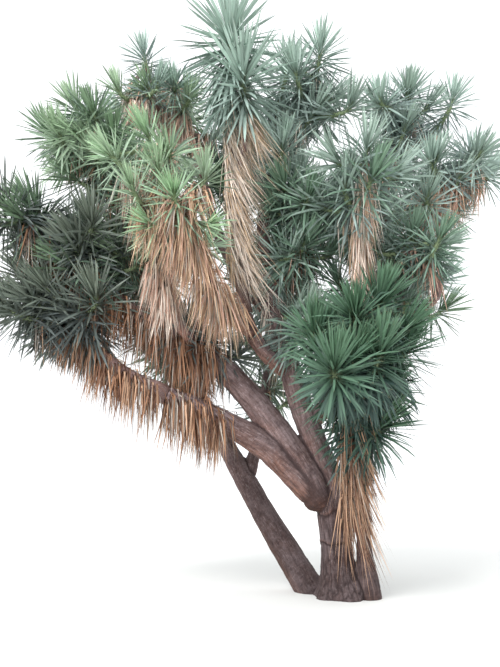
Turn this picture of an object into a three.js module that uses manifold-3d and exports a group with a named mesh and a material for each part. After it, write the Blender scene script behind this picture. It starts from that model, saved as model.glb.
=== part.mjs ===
// An old spineless yucca, a tree of many heads that has grown up from one swollen foot: a stout trunk
// that forks low down, a side stem and a back stem from the same root, and long bare limbs that carry the
// crown. Each mass of foliage is a stem that branches, with a head of sword leaves on every tip and a
// skirt of dead leaves that hangs from the stem below the head. Millimetres, +Z up, +Y away from the side
// that is seen first. The origin is the middle of the trunk's foot.

import * as THREE from "three";
import { mergeVertices } from "three/addons/utils/BufferGeometryUtils.js";
import Module from "manifold-3d";

const wasm = await Module();
wasm.setup();

// Driving dimensions
const GROWTH = 0.36; // how far a limb is grown to cut its neighbour, so that the two stay clear
const STEM_GAP = 0.4; // from a limb's tip to the stem that grows on from it
const LEAF_GAP = 2; // the least gap from a leaf to a limb or to another mass
const BARK_COLOUR = 0x7a6654;
const LEAF_COLOUR = 0x4d7048;
const GOLDEN_TURN = 137.5; // degrees from one leaf to the next round its head

const FLARE_LOBES = 5; // the swellings round the foot of the trunk
const FLARE_DEPTH = 0.1; // how far they stand out, as a share of the radius at the ground
const FLARE_HEIGHT = 450;
const TRUNK_SIDES = 12;
const TRUNK_LEAN = [-90, 0]; // how far the top of the trunk stands from over its foot

// Height and radius up the trunk: the flare, the waist, the fold in the bark, and the shoulder under the
// fork
const TRUNK_OUTLINE = [
  [0, 400],
  [110, 335],
  [350, 255],
  [670, 208],
  [725, 228],
  [1000, 218],
  [1210, 262],
  [1330, 215],
];

// The side stem's bulb and the collar where its foliage starts
const SIDE_STEM_OUTLINE = [
  [0, 200],
  [170, 190],
  [400, 140],
  [560, 110],
];
const SIDE_STEM_FOOT = [330, -110];
const SIDE_STEM_LEAN = [-30, -90];
const SIDE_STEM_SIDES = 10;

// A limb sets out from a fraction of its parent's length, or from the ground, and tapers to its tip. bow
// moves the middle of its curve off the straight line, and girth is its radius at the foot and at the
// tip.
const STOUT = 120; // the radius at the foot over which a limb counts as stout
const STOUT_SIDES = 8;
const STOUT_STEPS = 6;
const SLIM_SIDES = 6;
const SLIM_STEPS = 4;
const LIMBS = [
  { name: "back_stem", foot: [-330, 350, -60], tip: [-1900, 1600, 2600], bow: [0, 0, -60],
    girth: [215, 135] },
  { name: "long_bough", on: "trunk", at: 0.9, foot: [-200, -40, 110], tip: [-2350, -350, 3560],
    bow: [0, 0, 330], girth: [235, 130] },
  { name: "upright_bough", on: "trunk", at: 0.9, foot: [85, 10, 60], tip: [-1000, -100, 4750],
    bow: [-140, 0, 0], girth: [200, 112] },
  { name: "low_bough", on: "long_bough", at: 0.1, tip: [-2350, -430, 2650], bow: [0, 0, 70],
    girth: [215, 130] },
  { name: "tall_bough", on: "upright_bough", at: 0.5, tip: [-1280, -280, 3830], bow: [-110, 0, -50],
    girth: [125, 100] },
  { name: "right_bough", on: "upright_bough", at: 0.3, tip: [1150, -200, 4700], bow: [150, 0, -200],
    girth: [135, 85] },
  { name: "front_bough", on: "tall_bough", at: 0.7, tip: [-1750, -1150, 4050], bow: [0, 0, -80],
    girth: [88, 66] },
  { name: "front_left_bough", on: "long_bough", at: 0.8, tip: [-2500, -850, 4450],
    bow: [-60, -120, -100], girth: [98, 70] },
  { name: "shoulder_bough", on: "long_bough", at: 0.84, tip: [-3000, -300, 5100], bow: [-60, 80, -100],
    girth: [100, 72] },
  { name: "upper_left_bough", on: "upright_bough", at: 0.72, tip: [-1950, 200, 6100],
    bow: [-150, 60, -150], girth: [100, 72] },
  { name: "centre_bough", on: "upright_bough", at: 0.86, tip: [-520, -300, 4750], bow: [40, -20, -30],
    girth: [80, 62] },
  { name: "right_front_bough", on: "right_bough", at: 0.5, tip: [330, -800, 4150], bow: [0, -60, -60],
    girth: [88, 66] },
  { name: "right_low_bough", on: "right_bough", at: 0.72, tip: [1300, -650, 3950], bow: [60, 0, -60],
    girth: [76, 60] },
  { name: "right_upper_bough", on: "right_bough", at: 0.66, tip: [850, 300, 5400], bow: [0, 60, -60],
    girth: [88, 66] },
  { name: "back_left_bough", on: "back_stem", at: 0.82, tip: [-2500, 1400, 4000], bow: [-60, 0, -60],
    girth: [105, 75] },
  { name: "back_centre_bough", on: "back_stem", at: 0.6, tip: [-900, 1650, 3800], bow: [60, 60, -100],
    girth: [108, 75] },
  { name: "back_top_bough", on: "upright_bough", at: 0.8, tip: [-1300, 1050, 5500], bow: [0, 60, -120],
    girth: [95, 70] },
  { name: "back_right_bough", on: "right_bough", at: 0.4, tip: [500, 1000, 4600], bow: [0, 60, -100],
    girth: [98, 70] },
  { name: "back_low_bough", on: "right_bough", at: 0.22, tip: [550, 1050, 3350], bow: [0, 60, -100],
    girth: [98, 70] },
];

// A mass grows on from the tip of its limb. lead is the top of its first head, and heads says where each of
// the others stands from it: a bearing in degrees from +X, how far away, how much higher, and its own lean.
// lean is how far the heads lean out of the crown, or the way that the mass faces, and leaf the length of
// their leaves. skirt is the number of hanks of dead leaves under each head. More of them hang, one below
// another, from the clothed share of the first head's stem, and hang is how long they all are.
const CROWN_CENTRE = [-1000, 300];
const MASSES = [
  { name: "tall_head", on: "tall_bough", lead: [-1510, -1000, 7850], heads: [[322, 240, -740]],
    lean: 0.1, leaf: 800, skirt: 2, clothed: 1, hang: 900 },
  { name: "front_low", on: "front_bough", lead: [-2140, -2050, 4910],
    heads: [[160, 580, 180, 1.6], [128, 380, 480, 1.2], [58, 650, 540, 0.5]], faces: 268, lean: 3,
    leaf: 500, skirt: 3, clothed: 0.9, hang: 850 },
  { name: "front_left", on: "front_left_bough", lead: [-2640, -1250, 6150],
    heads: [[225, 560, -520], [310, 560, -520]], lean: 1.0, leaf: 620, skirt: 1, clothed: 0.6,
    hang: 700 },
  { name: "left_shoulder", on: "shoulder_bough", lead: [-3890, -350, 7090],
    heads: [[199, 370, -480], [306, 870, -550]], lean: 0.5, leaf: 580, skirt: 0, clothed: 0.3,
    hang: 700 },
  { name: "upper_left", on: "upper_left_bough", lead: [-2960, 250, 8360],
    heads: [[246, 670, -1000], [349, 710, -730]], lean: 0.15, leaf: 560, skirt: 0, clothed: 0.3,
    hang: 700 },
  { name: "long_bough_end", on: "long_bough", lead: [-4380, -450, 5390],
    heads: [[339, 730, -670], [238, 560, -60]], lean: 0.9, leaf: 640, skirt: 2, clothed: 0.95,
    hang: 850 },
  { name: "low_bough_end", on: "low_bough", lead: [-4420, -300, 4400],
    heads: [[335, 690, -490], [243, 390, -530], [70, 610, -700]], lean: 1, leaf: 640, skirt: 2,
    clothed: 0.95, hang: 850 },
  { name: "top_right", on: "upright_bough", lead: [-70, 150, 8380],
    heads: [[185, 540, -340], [321, 550, -1150], [84, 650, -810]], lean: 0.1, leaf: 700, skirt: 0,
    clothed: 0.3, hang: 700 },
  { name: "inner_centre", on: "centre_bough", lead: [-520, -350, 5880],
    heads: [[200, 330, -560], [10, 470, -560]], lean: 0.4, leaf: 660, skirt: 1, clothed: 0.8,
    hang: 700 },
  { name: "right_front", on: "right_front_bough", lead: [370, -1200, 5960],
    heads: [[180, 330, -560], [29, 510, -300]], lean: 0.3, leaf: 760, skirt: 2, clothed: 0.95,
    hang: 900 },
  { name: "right_shoulder", on: "right_bough", lead: [2160, -150, 6400],
    heads: [[209, 750, -250], [40, 530, -180]], lean: 0.5, leaf: 580, skirt: 1, clothed: 0.8, hang: 700 },
  { name: "right_low", on: "right_low_bough", lead: [1040, -750, 4930],
    heads: [[56, 430, -250], [155, 370, -220]], lean: 0.5, leaf: 620, skirt: 1, clothed: 0.7,
    hang: 650 },
  { name: "right_upper", on: "right_upper_bough", lead: [1400, 350, 7780],
    heads: [[13, 770, -40], [223, 850, -560]], lean: 0.2, leaf: 580, skirt: 0, clothed: 0.3,
    hang: 700 },
  { name: "low_front", on: "side_stem", lead: [470, -1200, 3850],
    heads: [[41, 520, -560], [254, 470, -770, 0.7], [223, 960, -990, 0.8], [183, 890, -470]], lean: 0.5,
    leaf: 740, skirt: 2, clothed: 0.9, hang: 950 },
  { name: "back_low", on: "back_stem", lead: [-2850, 2000, 4250],
    heads: [[100, 640, -380], [260, 640, -380]], lean: 0.8, leaf: 700, skirt: 0, clothed: 0.7,
    hang: 800 },
  { name: "back_left", on: "back_left_bough", lead: [-3450, 1250, 5950],
    heads: [[180, 680, -450], [80, 680, -450], [350, 680, -450]], lean: 0.6, leaf: 660, skirt: 0,
    clothed: 0.5, hang: 750 },
  { name: "back_top", on: "back_top_bough", lead: [-1500, 1500, 7450],
    heads: [[180, 720, -420], [60, 720, -420], [300, 720, -420]], lean: 0.2, leaf: 660, skirt: 0,
    clothed: 0.3, hang: 700 },
  { name: "back_centre", on: "back_centre_bough", lead: [-700, 2250, 5700],
    heads: [[160, 680, -500], [50, 680, -500]], lean: 0.7, leaf: 680, skirt: 0, clothed: 0.6,
    hang: 800 },
  { name: "back_right", on: "back_right_bough", lead: [850, 1650, 6500],
    heads: [[0, 680, -420], [110, 680, -420], [215, 680, -420]], lean: 0.5, leaf: 660, skirt: 0,
    clothed: 0.5, hang: 750 },
  { name: "back_right_low", on: "back_low_bough", lead: [1450, 1450, 4750],
    heads: [[350, 600, -420], [110, 600, -420]], lean: 0.8, leaf: 680, skirt: 0, clothed: 0.6,
    hang: 750 },
];

const STEM_SIDES = 5;
const TWIG_SIDES = 3;
const STEM_STEPS = 4;
const TWIG_STEPS = 3;
const HEAD_RADIUS = 70; // the leaf bases packed round the end of a stem
const TWIG_RADIUS = 50;
const FORK_FROM = 0.45; // where on the main stem the first twig leaves it, as a share of its length
const FORK_TO = 0.75;
const BEND = 0.38; // how far each end of a stem keeps its heading, as a share of the stem's reach
const SCATTER = 0.04; // how far a twig's spread and rise stray from the mass's own, as a share

const LEAD_LEAVES = 8; // on the first head of a mass
const TWIG_LEAVES = 6; // and on every other head
const LEAF_WIDTH = 0.27; // as shares of the leaf's length
const LEAF_THICKNESS = 0.03;
const LEAF_WIDEST = 0.4;
const FIRST_LEAF_ANGLE = 12; // degrees from the head's axis, for the youngest leaf
const LAST_LEAF_ANGLE = 112; // and for the oldest green one
const OFF_AXIS = [0.3, 1, 0.1]; // a heading that no head faces, from which its leaves are counted round
const LEAF_SINK = 30; // how far below the end of the stem the youngest leaf is rooted
const LEAF_RISE = 45; // and how much further down each older leaf is
const LEAF_DROOP = 0.16; // how far a leaf's line is pulled down
const LEAF_LENGTHS = [0.9, 1.1]; // the shortest and the longest leaf, as shares of the mass's own length

const HANK_START = 380; // from the end of the stem down to the first hank of dead leaves
const SKIRT_SPACING = 50; // from each hank of a head's skirt to the next
const HANK_SPACING = 420; // and from each hank to the next, further down the stem
const HANK_TURN = 150; // degrees from each hank to the next round the stem
const HANK_WIDTH = 0.22;
const HANK_THICKNESS = 0.12;
const HANK_WIDEST = 0.55;
const HANK_SPLAY = 0.4; // how far a hank stands out from straight down
const HANK_LENGTHS = [0.85, 1.15]; // the shortest and the longest hank, as shares of the mass's own

const WELD = 1e-3; // corners that lie nearer to each other are one
const UPRIGHT = 1e-4; // the squared sine under which a blade counts as upright
const GROUND_WIDTH = 20000;
const GROUND_DEPTH = 2000;

const up = new THREE.Vector3(0, 0, 1);
const vector = (xyz) => new THREE.Vector3(...xyz);
const degrees = THREE.MathUtils.degToRad;
const mix = THREE.MathUtils.lerp;

// A repeatable run of numbers from 0 to 1
function seeded(seed) {
  let state = seed;
  return () => {
    state = (state * 1664525 + 1013904223) % 4294967296;
    return state / 4294967296;
  };
}

// The solid that a closed geometry bounds
function solidOf(geometry) {
  const bare = new THREE.BufferGeometry();
  bare.setAttribute("position", geometry.getAttribute("position"));
  if (geometry.index) bare.setIndex(geometry.index);
  const merged = mergeVertices(bare, WELD);
  const mesh = new wasm.Mesh({
    numProp: 3,
    vertProperties: new Float32Array(merged.attributes.position.array),
    triVerts: new Uint32Array(merged.index.array),
  });
  mesh.merge();
  return new wasm.Manifold(mesh);
}

// The largest body of a solid, with sealed hollows filled and loose scraps dropped. Welding the body's
// corners can close off a further hollow, so it goes on until nothing more changes.
function wholeBody(solid) {
  const bodies = solidOf(geometryOf(solid)).decompose();
  const largest = bodies.reduce((best, body) => (body.volume() > best.volume() ? body : best));
  return largest.numTri() < solid.numTri() ? wholeBody(largest) : largest;
}

function boxesMeet(a, b, gap) {
  return a.min.every((low, i) => low - gap <= b.max[i] && b.min[i] - gap <= a.max[i]);
}

// True where the two solids come closer than the gap
function touches(a, b, gap) {
  return boxesMeet(a.box, b.box, gap) && a.solid.minGap(b.solid, gap) < gap;
}

const boxed = (solid) => ({ solid, box: solid.boundingBox() });

function geometryOf(solid) {
  const made = solid.getMesh();
  const count = made.vertProperties.length / made.numProp;
  const position = new Float32Array(count * 3);
  for (let i = 0; i < count; i++) {
    position.set(made.vertProperties.subarray(i * made.numProp, i * made.numProp + 3), i * 3);
  }
  const geometry = new THREE.BufferGeometry();
  geometry.setAttribute("position", new THREE.BufferAttribute(position, 3));
  geometry.setIndex(new THREE.BufferAttribute(new Uint32Array(made.triVerts), 1));
  return geometry;
}

function toMesh(name, solid, colour, roughness) {
  const geometry = geometryOf(solid);
  geometry.computeVertexNormals();
  const material = new THREE.MeshStandardMaterial({ color: colour, roughness, metalness: 0 });
  const mesh = new THREE.Mesh(geometry, material);
  mesh.name = name;
  return mesh;
}

// A cylinder bent along a curve, with its radius given by the share of the way along. Growing it moves
// its side and both ends outwards.
function tube(curve, radiusAt, sides, steps, grow = 0) {
  const geometry = new THREE.CylinderGeometry(1, 1, steps, sides, steps);
  const frames = curve.computeFrenetFrames(steps, false);
  const position = geometry.getAttribute("position");
  for (let i = 0; i < position.count; i++) {
    const row = Math.round(position.getY(i) + steps / 2);
    const radius = radiusAt(row / steps) + grow;
    const beyond = row === 0 ? -grow : row === steps ? grow : 0;
    const point = curve.getPointAt(row / steps).addScaledVector(frames.tangents[row], beyond);
    point.addScaledVector(frames.normals[row], position.getX(i) * radius);
    point.addScaledVector(frames.binormals[row], -position.getZ(i) * radius);
    position.setXYZ(i, point.x, point.y, point.z);
  }
  const solid = solidOf(geometry);
  return solid.volume() < 0 ? solidOf(turnedOver(geometry)) : solid;
}

function turnedOver(geometry) {
  const index = geometry.index.array;
  for (let i = 0; i < index.length; i += 3) {
    [index[i + 1], index[i + 2]] = [index[i + 2], index[i + 1]];
  }
  return geometry;
}

// A stem turned from its outline, leaning off the vertical, with swellings round its foot. Growing it
// moves its side, its foot and its top outwards.
function turnedStem(outline, foot, lean, sides, lobes, grow) {
  const height = outline.at(-1)[0];
  const profile = [
    new THREE.Vector2(0, -grow),
    ...outline.map(([z, radius]) => new THREE.Vector2(radius + grow, z > 0 ? z : -grow)),
    new THREE.Vector2(0, height + grow),
  ];
  const geometry = new THREE.LatheGeometry(profile, sides).rotateX(Math.PI / 2);
  const position = geometry.getAttribute("position");
  for (let i = 0; i < position.count; i++) {
    const z = position.getZ(i);
    const angle = Math.atan2(position.getY(i), position.getX(i));
    const flare = Math.max(0, 1 - z / FLARE_HEIGHT);
    const swell = 1 + FLARE_DEPTH * flare * Math.cos(lobes * angle) * (lobes > 0 ? 1 : 0);
    const share = z / height;
    position.setX(i, position.getX(i) * swell + foot[0] + lean[0] * share);
    position.setY(i, position.getY(i) * swell + foot[1] + lean[1] * share);
  }
  return solidOf(geometry);
}

function bowedCurve(foot, tip, bow) {
  const middle = foot.clone().add(tip).multiplyScalar(0.5);
  return new THREE.QuadraticBezierCurve3(foot, middle.addScaledVector(bow, 2), tip);
}

const group = new THREE.Group();
const curves = {};
const limbs = [];

// The trunk and the side stem
const trunkHeight = TRUNK_OUTLINE.at(-1)[0];
curves.trunk = new THREE.LineCurve3(vector([0, 0, 0]), vector([...TRUNK_LEAN, trunkHeight]));
const growTrunk = (grow) => turnedStem(TRUNK_OUTLINE, [0, 0], TRUNK_LEAN, TRUNK_SIDES, FLARE_LOBES, grow);
const trunk = growTrunk(0);
const grownLimbs = [boxed(growTrunk(GROWTH))];
limbs.push({ name: "trunk", ...boxed(trunk) });

// A solid with a clear gap cut round every limb made so far
function clearOfLimbs(solid) {
  const box = solid.boundingBox();
  const near = grownLimbs.filter((limb) => boxesMeet(limb.box, box, 0));
  return near.reduce((rest, limb) => rest.subtract(limb.solid), solid);
}

const sideHeight = SIDE_STEM_OUTLINE.at(-1)[0];
const sideTop = [SIDE_STEM_FOOT[0] + SIDE_STEM_LEAN[0], SIDE_STEM_FOOT[1] + SIDE_STEM_LEAN[1], sideHeight];
curves.side_stem = new THREE.LineCurve3(vector([...SIDE_STEM_FOOT, 0]), vector(sideTop));
const growSide = (grow) =>
  turnedStem(SIDE_STEM_OUTLINE, SIDE_STEM_FOOT, SIDE_STEM_LEAN, SIDE_STEM_SIDES, 0, grow);
limbs.push({ name: "side_stem", ...boxed(wholeBody(clearOfLimbs(growSide(0)))) });
grownLimbs.push(boxed(growSide(GROWTH)));

// The limbs, each cut clear of those before it and of the ground
const groundBlock = new THREE.BoxGeometry(GROUND_WIDTH, GROUND_WIDTH, GROUND_DEPTH);
const ground = solidOf(groundBlock.translate(0, 0, -GROUND_DEPTH / 2));
for (const limb of LIMBS) {
  const shift = vector(limb.foot ?? [0, 0, 0]);
  const foot = limb.on ? curves[limb.on].getPoint(limb.at).add(shift) : shift;
  const curve = bowedCurve(foot, vector(limb.tip), vector(limb.bow));
  curves[limb.name] = curve;
  const [footRadius, tipRadius] = limb.girth;
  const stout = footRadius > STOUT;
  const sides = stout ? STOUT_SIDES : SLIM_SIDES;
  const steps = stout ? STOUT_STEPS : SLIM_STEPS;
  const grown = (grow) => tube(curve, (share) => mix(footRadius, tipRadius, share), sides, steps, grow);
  const solid = limb.on ? grown(0) : grown(0).subtract(ground);
  limbs.push({ name: limb.name, ...boxed(wholeBody(clearOfLimbs(solid))) });
  grownLimbs.push(boxed(grown(GROWTH)));
}
for (const limb of limbs) group.add(toMesh(limb.name, limb.solid, BARK_COLOUR, 0.9));

// A blade from its root along a direction: two edges, level with each other, and a keel under them
function blade(root, direction, length, width, thickness, widest) {
  const side = new THREE.Vector3().crossVectors(direction, up);
  if (side.lengthSq() < UPRIGHT) side.set(1, 0, 0);
  side.normalize();
  const face = new THREE.Vector3().crossVectors(side, direction).normalize();
  const geometry = new THREE.SphereGeometry(1, 3, 2);
  const position = geometry.getAttribute("position");
  for (let i = 0; i < position.count; i++) {
    const [across, along, off] = [position.getX(i), position.getY(i), position.getZ(i)];
    const middle = Math.abs(along) < 0.5;
    const point = root.clone().addScaledVector(direction, middle ? length * widest : along > 0 ? length : 0);
    if (middle) {
      point.addScaledVector(side, (off * width) / Math.sqrt(3));
      point.addScaledVector(face, across * thickness);
    }
    position.setXYZ(i, point.x, point.y, point.z);
  }
  const solid = solidOf(geometry);
  return boxed(solid.volume() < 0 ? solidOf(turnedOver(geometry)) : solid);
}

const bearingWay = (bearing) => new THREE.Vector3(Math.cos(degrees(bearing)), Math.sin(degrees(bearing)), 0);

// The way a head faces: up, and by the lean out of the crown, or to the bearing that its mass faces
function headAxis(tip, lean, faces) {
  const outOfCrown = new THREE.Vector3(tip.x - CROWN_CENTRE[0], tip.y - CROWN_CENTRE[1], 0).normalize();
  const out = faces === undefined ? outOfCrown : bearingWay(faces);
  return out.multiplyScalar(lean).add(up).normalize();
}

// A stem that sets off along one heading and ends along another
function stemCurve(foot, heading, tip, axis) {
  const reach = foot.distanceTo(tip) * BEND;
  const first = foot.clone().addScaledVector(heading, reach);
  const last = tip.clone().addScaledVector(axis, -reach);
  return new THREE.CubicBezierCurve3(foot, first, last, tip);
}

// The stems of a mass: the main one from the limb's tip to the lead head, and a twig to each other head
function stemsOf(mass, random) {
  const limbCurve = curves[mass.on];
  const heading = limbCurve.getTangent(1);
  const foot = limbCurve.getPoint(1).addScaledVector(heading, STEM_GAP);
  const lead = vector(mass.lead);
  const axis = headAxis(lead, mass.lean, mass.faces);
  const main = stemCurve(foot, heading, lead, axis);
  const stems = [{ curve: main, axis, girth: mass.girth, steps: STEM_STEPS, main: true }];
  mass.heads.forEach(([bearing, away, higher, lean = mass.lean], i) => {
    const share = mass.heads.length > 1 ? i / (mass.heads.length - 1) : 0;
    const leaves = mix(FORK_FROM, FORK_TO, share);
    const spread = away * (1 + SCATTER * (2 * random() - 1));
    const rise = higher * (1 + SCATTER * (2 * random() - 1));
    const out = bearingWay(bearing);
    const tip = lead.clone().addScaledVector(out, spread).addScaledVector(up, rise);
    const from = main.getPoint(leaves);
    const setOff = main.getTangent(leaves).add(out).normalize();
    const twigAxis = headAxis(tip, lean, mass.faces);
    const curve = stemCurve(from, setOff, tip, twigAxis);
    stems.push({ curve, axis: twigAxis, girth: TWIG_RADIUS, steps: TWIG_STEPS, main: false });
  });
  return stems;
}

// A stem, slightly swollen at its end by the packed leaf bases of its head
function stemSolid(stem) {
  const radiusAt = (share) => (share === 1 ? HEAD_RADIUS : mix(stem.girth, TWIG_RADIUS, share));
  return tube(stem.curve, radiusAt, stem.main ? STEM_SIDES : TWIG_SIDES, stem.steps);
}

// The point in the middle of a stem's solid at a distance down from its end
function middleAt(stem, down) {
  const row = stem.steps * Math.max(0, 1 - down / stem.curve.getLength());
  const below = Math.min(Math.floor(row), stem.steps - 1);
  const [low, high] = [below, below + 1].map((ring) => stem.curve.getPointAt(ring / stem.steps));
  return low.lerp(high, row - below);
}

// The leaves of one head, from the youngest, nearly on its axis, to the oldest, which hang back
function leavesOf(stem, mass, random) {
  const across = new THREE.Vector3().crossVectors(stem.axis, vector(OFF_AXIS)).normalize();
  const leaves = [];
  const count = stem.main ? LEAD_LEAVES : TWIG_LEAVES;
  const start = 360 * random();
  for (let i = 0; i < count; i++) {
    const age = i / (count - 1);
    const angle = degrees(mix(FIRST_LEAF_ANGLE, LAST_LEAF_ANGLE, age));
    const out = across.clone().applyAxisAngle(stem.axis, degrees(start + GOLDEN_TURN * i));
    const direction = stem.axis.clone().multiplyScalar(Math.cos(angle)).addScaledVector(out, Math.sin(angle));
    direction.addScaledVector(up, -LEAF_DROOP * age).normalize();
    const root = middleAt(stem, LEAF_SINK + LEAF_RISE * i);
    const length = mass.leaf * mix(...LEAF_LENGTHS, random());
    const [width, thickness] = [mass.leaf * LEAF_WIDTH, mass.leaf * LEAF_THICKNESS];
    leaves.push(blade(root, direction, length, width, thickness, LEAF_WIDEST));
  }
  return leaves;
}

// The hanks of dead leaves that hang in a skirt under a head, and from the clothed stretch of a main stem
function hanksOf(stem, mass, random) {
  const clothedLength = stem.main ? stem.curve.getLength() * mass.clothed : 0;
  const hanks = [];
  let turn = 360 * random();
  let down = HANK_START;
  for (let order = 0; order < mass.skirt || down < clothedLength; order++) {
    const out = bearingWay(turn);
    const root = middleAt(stem, down);
    const direction = out.multiplyScalar(HANK_SPLAY).sub(up).normalize();
    const hang = mass.hang * mix(...HANK_LENGTHS, random());
    hanks.push(blade(root, direction, hang, hang * HANK_WIDTH, hang * HANK_THICKNESS, HANK_WIDEST));
    turn += HANK_TURN;
    down += order < mass.skirt - 1 ? SKIRT_SPACING : HANK_SPACING;
  }
  return hanks;
}

// First every mass's stems, so that no leaf of another mass lands on them, then the leaves and dead
// leaves
const growing = MASSES.map((mass, order) => {
  const random = seeded(order + 1);
  const limb = LIMBS.find(({ name }) => name === mass.on);
  const girth = limb ? limb.girth[1] : SIDE_STEM_OUTLINE.at(-1)[1];
  const stems = stemsOf({ ...mass, girth }, random);
  const kept = [];
  let solid = null;
  for (const stem of stems) {
    const made = boxed(stemSolid(stem));
    if (!stem.main && limbs.some((other) => touches(made, other, LEAF_GAP))) continue;
    kept.push(stem);
    solid = solid ? solid.add(made.solid) : made.solid;
  }
  return { mass, random, stems: kept, parts: [boxed(wholeBody(clearOfLimbs(solid)))] };
});

function free(piece, own) {
  if (piece.box.min[2] < LEAF_GAP) return false;
  if (limbs.some((limb) => touches(piece, limb, LEAF_GAP))) return false;
  const others = growing.filter((other) => other !== own);
  return others.every((other) => other.parts.every((part) => !touches(piece, part, LEAF_GAP)));
}

for (const own of growing) {
  for (const stem of own.stems) {
    const pieces = [...leavesOf(stem, own.mass, own.random), ...hanksOf(stem, own.mass, own.random)];
    for (const piece of pieces) if (free(piece, own)) own.parts.push(piece);
  }
}

for (const { mass, parts } of growing) {
  const joined = parts.map((part) => part.solid).reduce((sum, part) => sum.add(part));
  group.add(toMesh(`foliage_${mass.name}`, wholeBody(joined), LEAF_COLOUR, 0.6));
}

export default group;
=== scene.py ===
import math

import bmesh
import bpy
import numpy as np
from mathutils import Matrix, Vector, noise


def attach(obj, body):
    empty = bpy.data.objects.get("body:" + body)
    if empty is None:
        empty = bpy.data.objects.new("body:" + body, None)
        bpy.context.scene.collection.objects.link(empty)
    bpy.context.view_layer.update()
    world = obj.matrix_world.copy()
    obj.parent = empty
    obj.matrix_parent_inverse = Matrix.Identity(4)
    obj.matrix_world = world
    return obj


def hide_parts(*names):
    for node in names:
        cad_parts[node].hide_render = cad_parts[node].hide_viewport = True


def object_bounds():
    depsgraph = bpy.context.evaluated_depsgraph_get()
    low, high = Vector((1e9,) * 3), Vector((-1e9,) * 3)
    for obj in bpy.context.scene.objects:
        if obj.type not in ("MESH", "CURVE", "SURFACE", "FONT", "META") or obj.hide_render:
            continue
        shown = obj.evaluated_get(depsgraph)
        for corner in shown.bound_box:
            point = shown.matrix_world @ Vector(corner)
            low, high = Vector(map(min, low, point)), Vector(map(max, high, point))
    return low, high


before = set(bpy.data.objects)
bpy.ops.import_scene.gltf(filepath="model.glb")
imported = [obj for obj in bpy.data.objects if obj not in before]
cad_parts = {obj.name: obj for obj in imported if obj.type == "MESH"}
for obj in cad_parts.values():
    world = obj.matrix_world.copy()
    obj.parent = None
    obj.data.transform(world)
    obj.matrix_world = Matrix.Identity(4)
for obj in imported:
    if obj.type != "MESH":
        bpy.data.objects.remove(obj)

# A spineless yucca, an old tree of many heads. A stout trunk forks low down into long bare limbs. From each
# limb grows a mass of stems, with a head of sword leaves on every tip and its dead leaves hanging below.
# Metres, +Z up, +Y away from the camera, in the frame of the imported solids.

solids_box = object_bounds()

# The camera stands a little left of the trunk at eye height and looks up into the crown. The trunk's foot is
# low in the frame, and its upper edge cuts the top of the tallest head.
EYE = (-1.22, -9.56, 1.6)
LOOK_UP = 11.8  # degrees over the horizon
FOCAL_LENGTH = 36.43  # millimetres, as the sensor's long side
SENSOR_LENGTH = 36.0
FARTHEST_VIEW = 200.0


def placed(name, data):
    """A new object in the scene that holds this camera, light or mesh."""
    thing = bpy.data.objects.new(name, data)
    bpy.context.scene.collection.objects.link(thing)
    return thing


camera_data = bpy.data.cameras.new("camera")
camera_data.lens = FOCAL_LENGTH
camera_data.sensor_width = SENSOR_LENGTH
camera_data.clip_end = FARTHEST_VIEW
camera = placed("camera", camera_data)
camera.location = EYE
camera.rotation_euler = (math.radians(90.0 + LOOK_UP), 0.0, 0.0)
bpy.context.scene.camera = camera

# The studio: a pale floor that runs out of sight, a bright even sky all round, and one broad soft light from
# high on the left in front, which models the limbs without hard shadows.
FLOOR_REACH = 60.0
FLOOR_COLOUR = (0.78, 0.78, 0.76, 1.0)
FLOOR_ROUGHNESS = 0.9
SKY_COLOUR = (0.96, 0.98, 1.0, 1.0)
SKY_STRENGTH = 1.35
KEY_STRENGTH = 2.3
KEY_SOFTNESS = math.radians(24.0)
KEY_TURN = (math.radians(48.0), 0.0, math.radians(-32.0))


def mesh_of(name, shape):
    """A new mesh from a shape that isn't needed after it."""
    mesh = bpy.data.meshes.new(name)
    shape.to_mesh(mesh)
    shape.free()
    return mesh


floor_shape = bmesh.new()
bmesh.ops.create_grid(floor_shape, x_segments=1, y_segments=1, size=FLOOR_REACH)
floor_mesh = mesh_of("floor", floor_shape)
floor_finish = bpy.data.materials.new("floor")
floor_finish.use_nodes = True
floor_shader = floor_finish.node_tree.nodes["Principled BSDF"]
floor_shader.inputs["Base Color"].default_value = FLOOR_COLOUR
floor_shader.inputs["Roughness"].default_value = FLOOR_ROUGHNESS
floor_mesh.materials.append(floor_finish)
floor = placed("floor", floor_mesh)

sky = bpy.data.worlds.new("sky")
sky.use_nodes = True
sky_light = sky.node_tree.nodes["Background"]
sky_light.inputs["Color"].default_value = SKY_COLOUR
sky_light.inputs["Strength"].default_value = SKY_STRENGTH
bpy.context.scene.world = sky
bpy.context.scene.view_settings.view_transform = "Standard"

key_data = bpy.data.lights.new("key", "SUN")
key_data.energy = KEY_STRENGTH
key_data.angle = KEY_SOFTNESS
key_light = placed("key", key_data)
key_light.rotation_euler = KEY_TURN

# The bark, over the trunk, every limb and the bare stems of the crown: soft, corky and grey-brown, split
# lengthwise into fine fibrous ribs, with a warm orange-brown painted on the undersides of the forks as bounce
# light.


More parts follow.
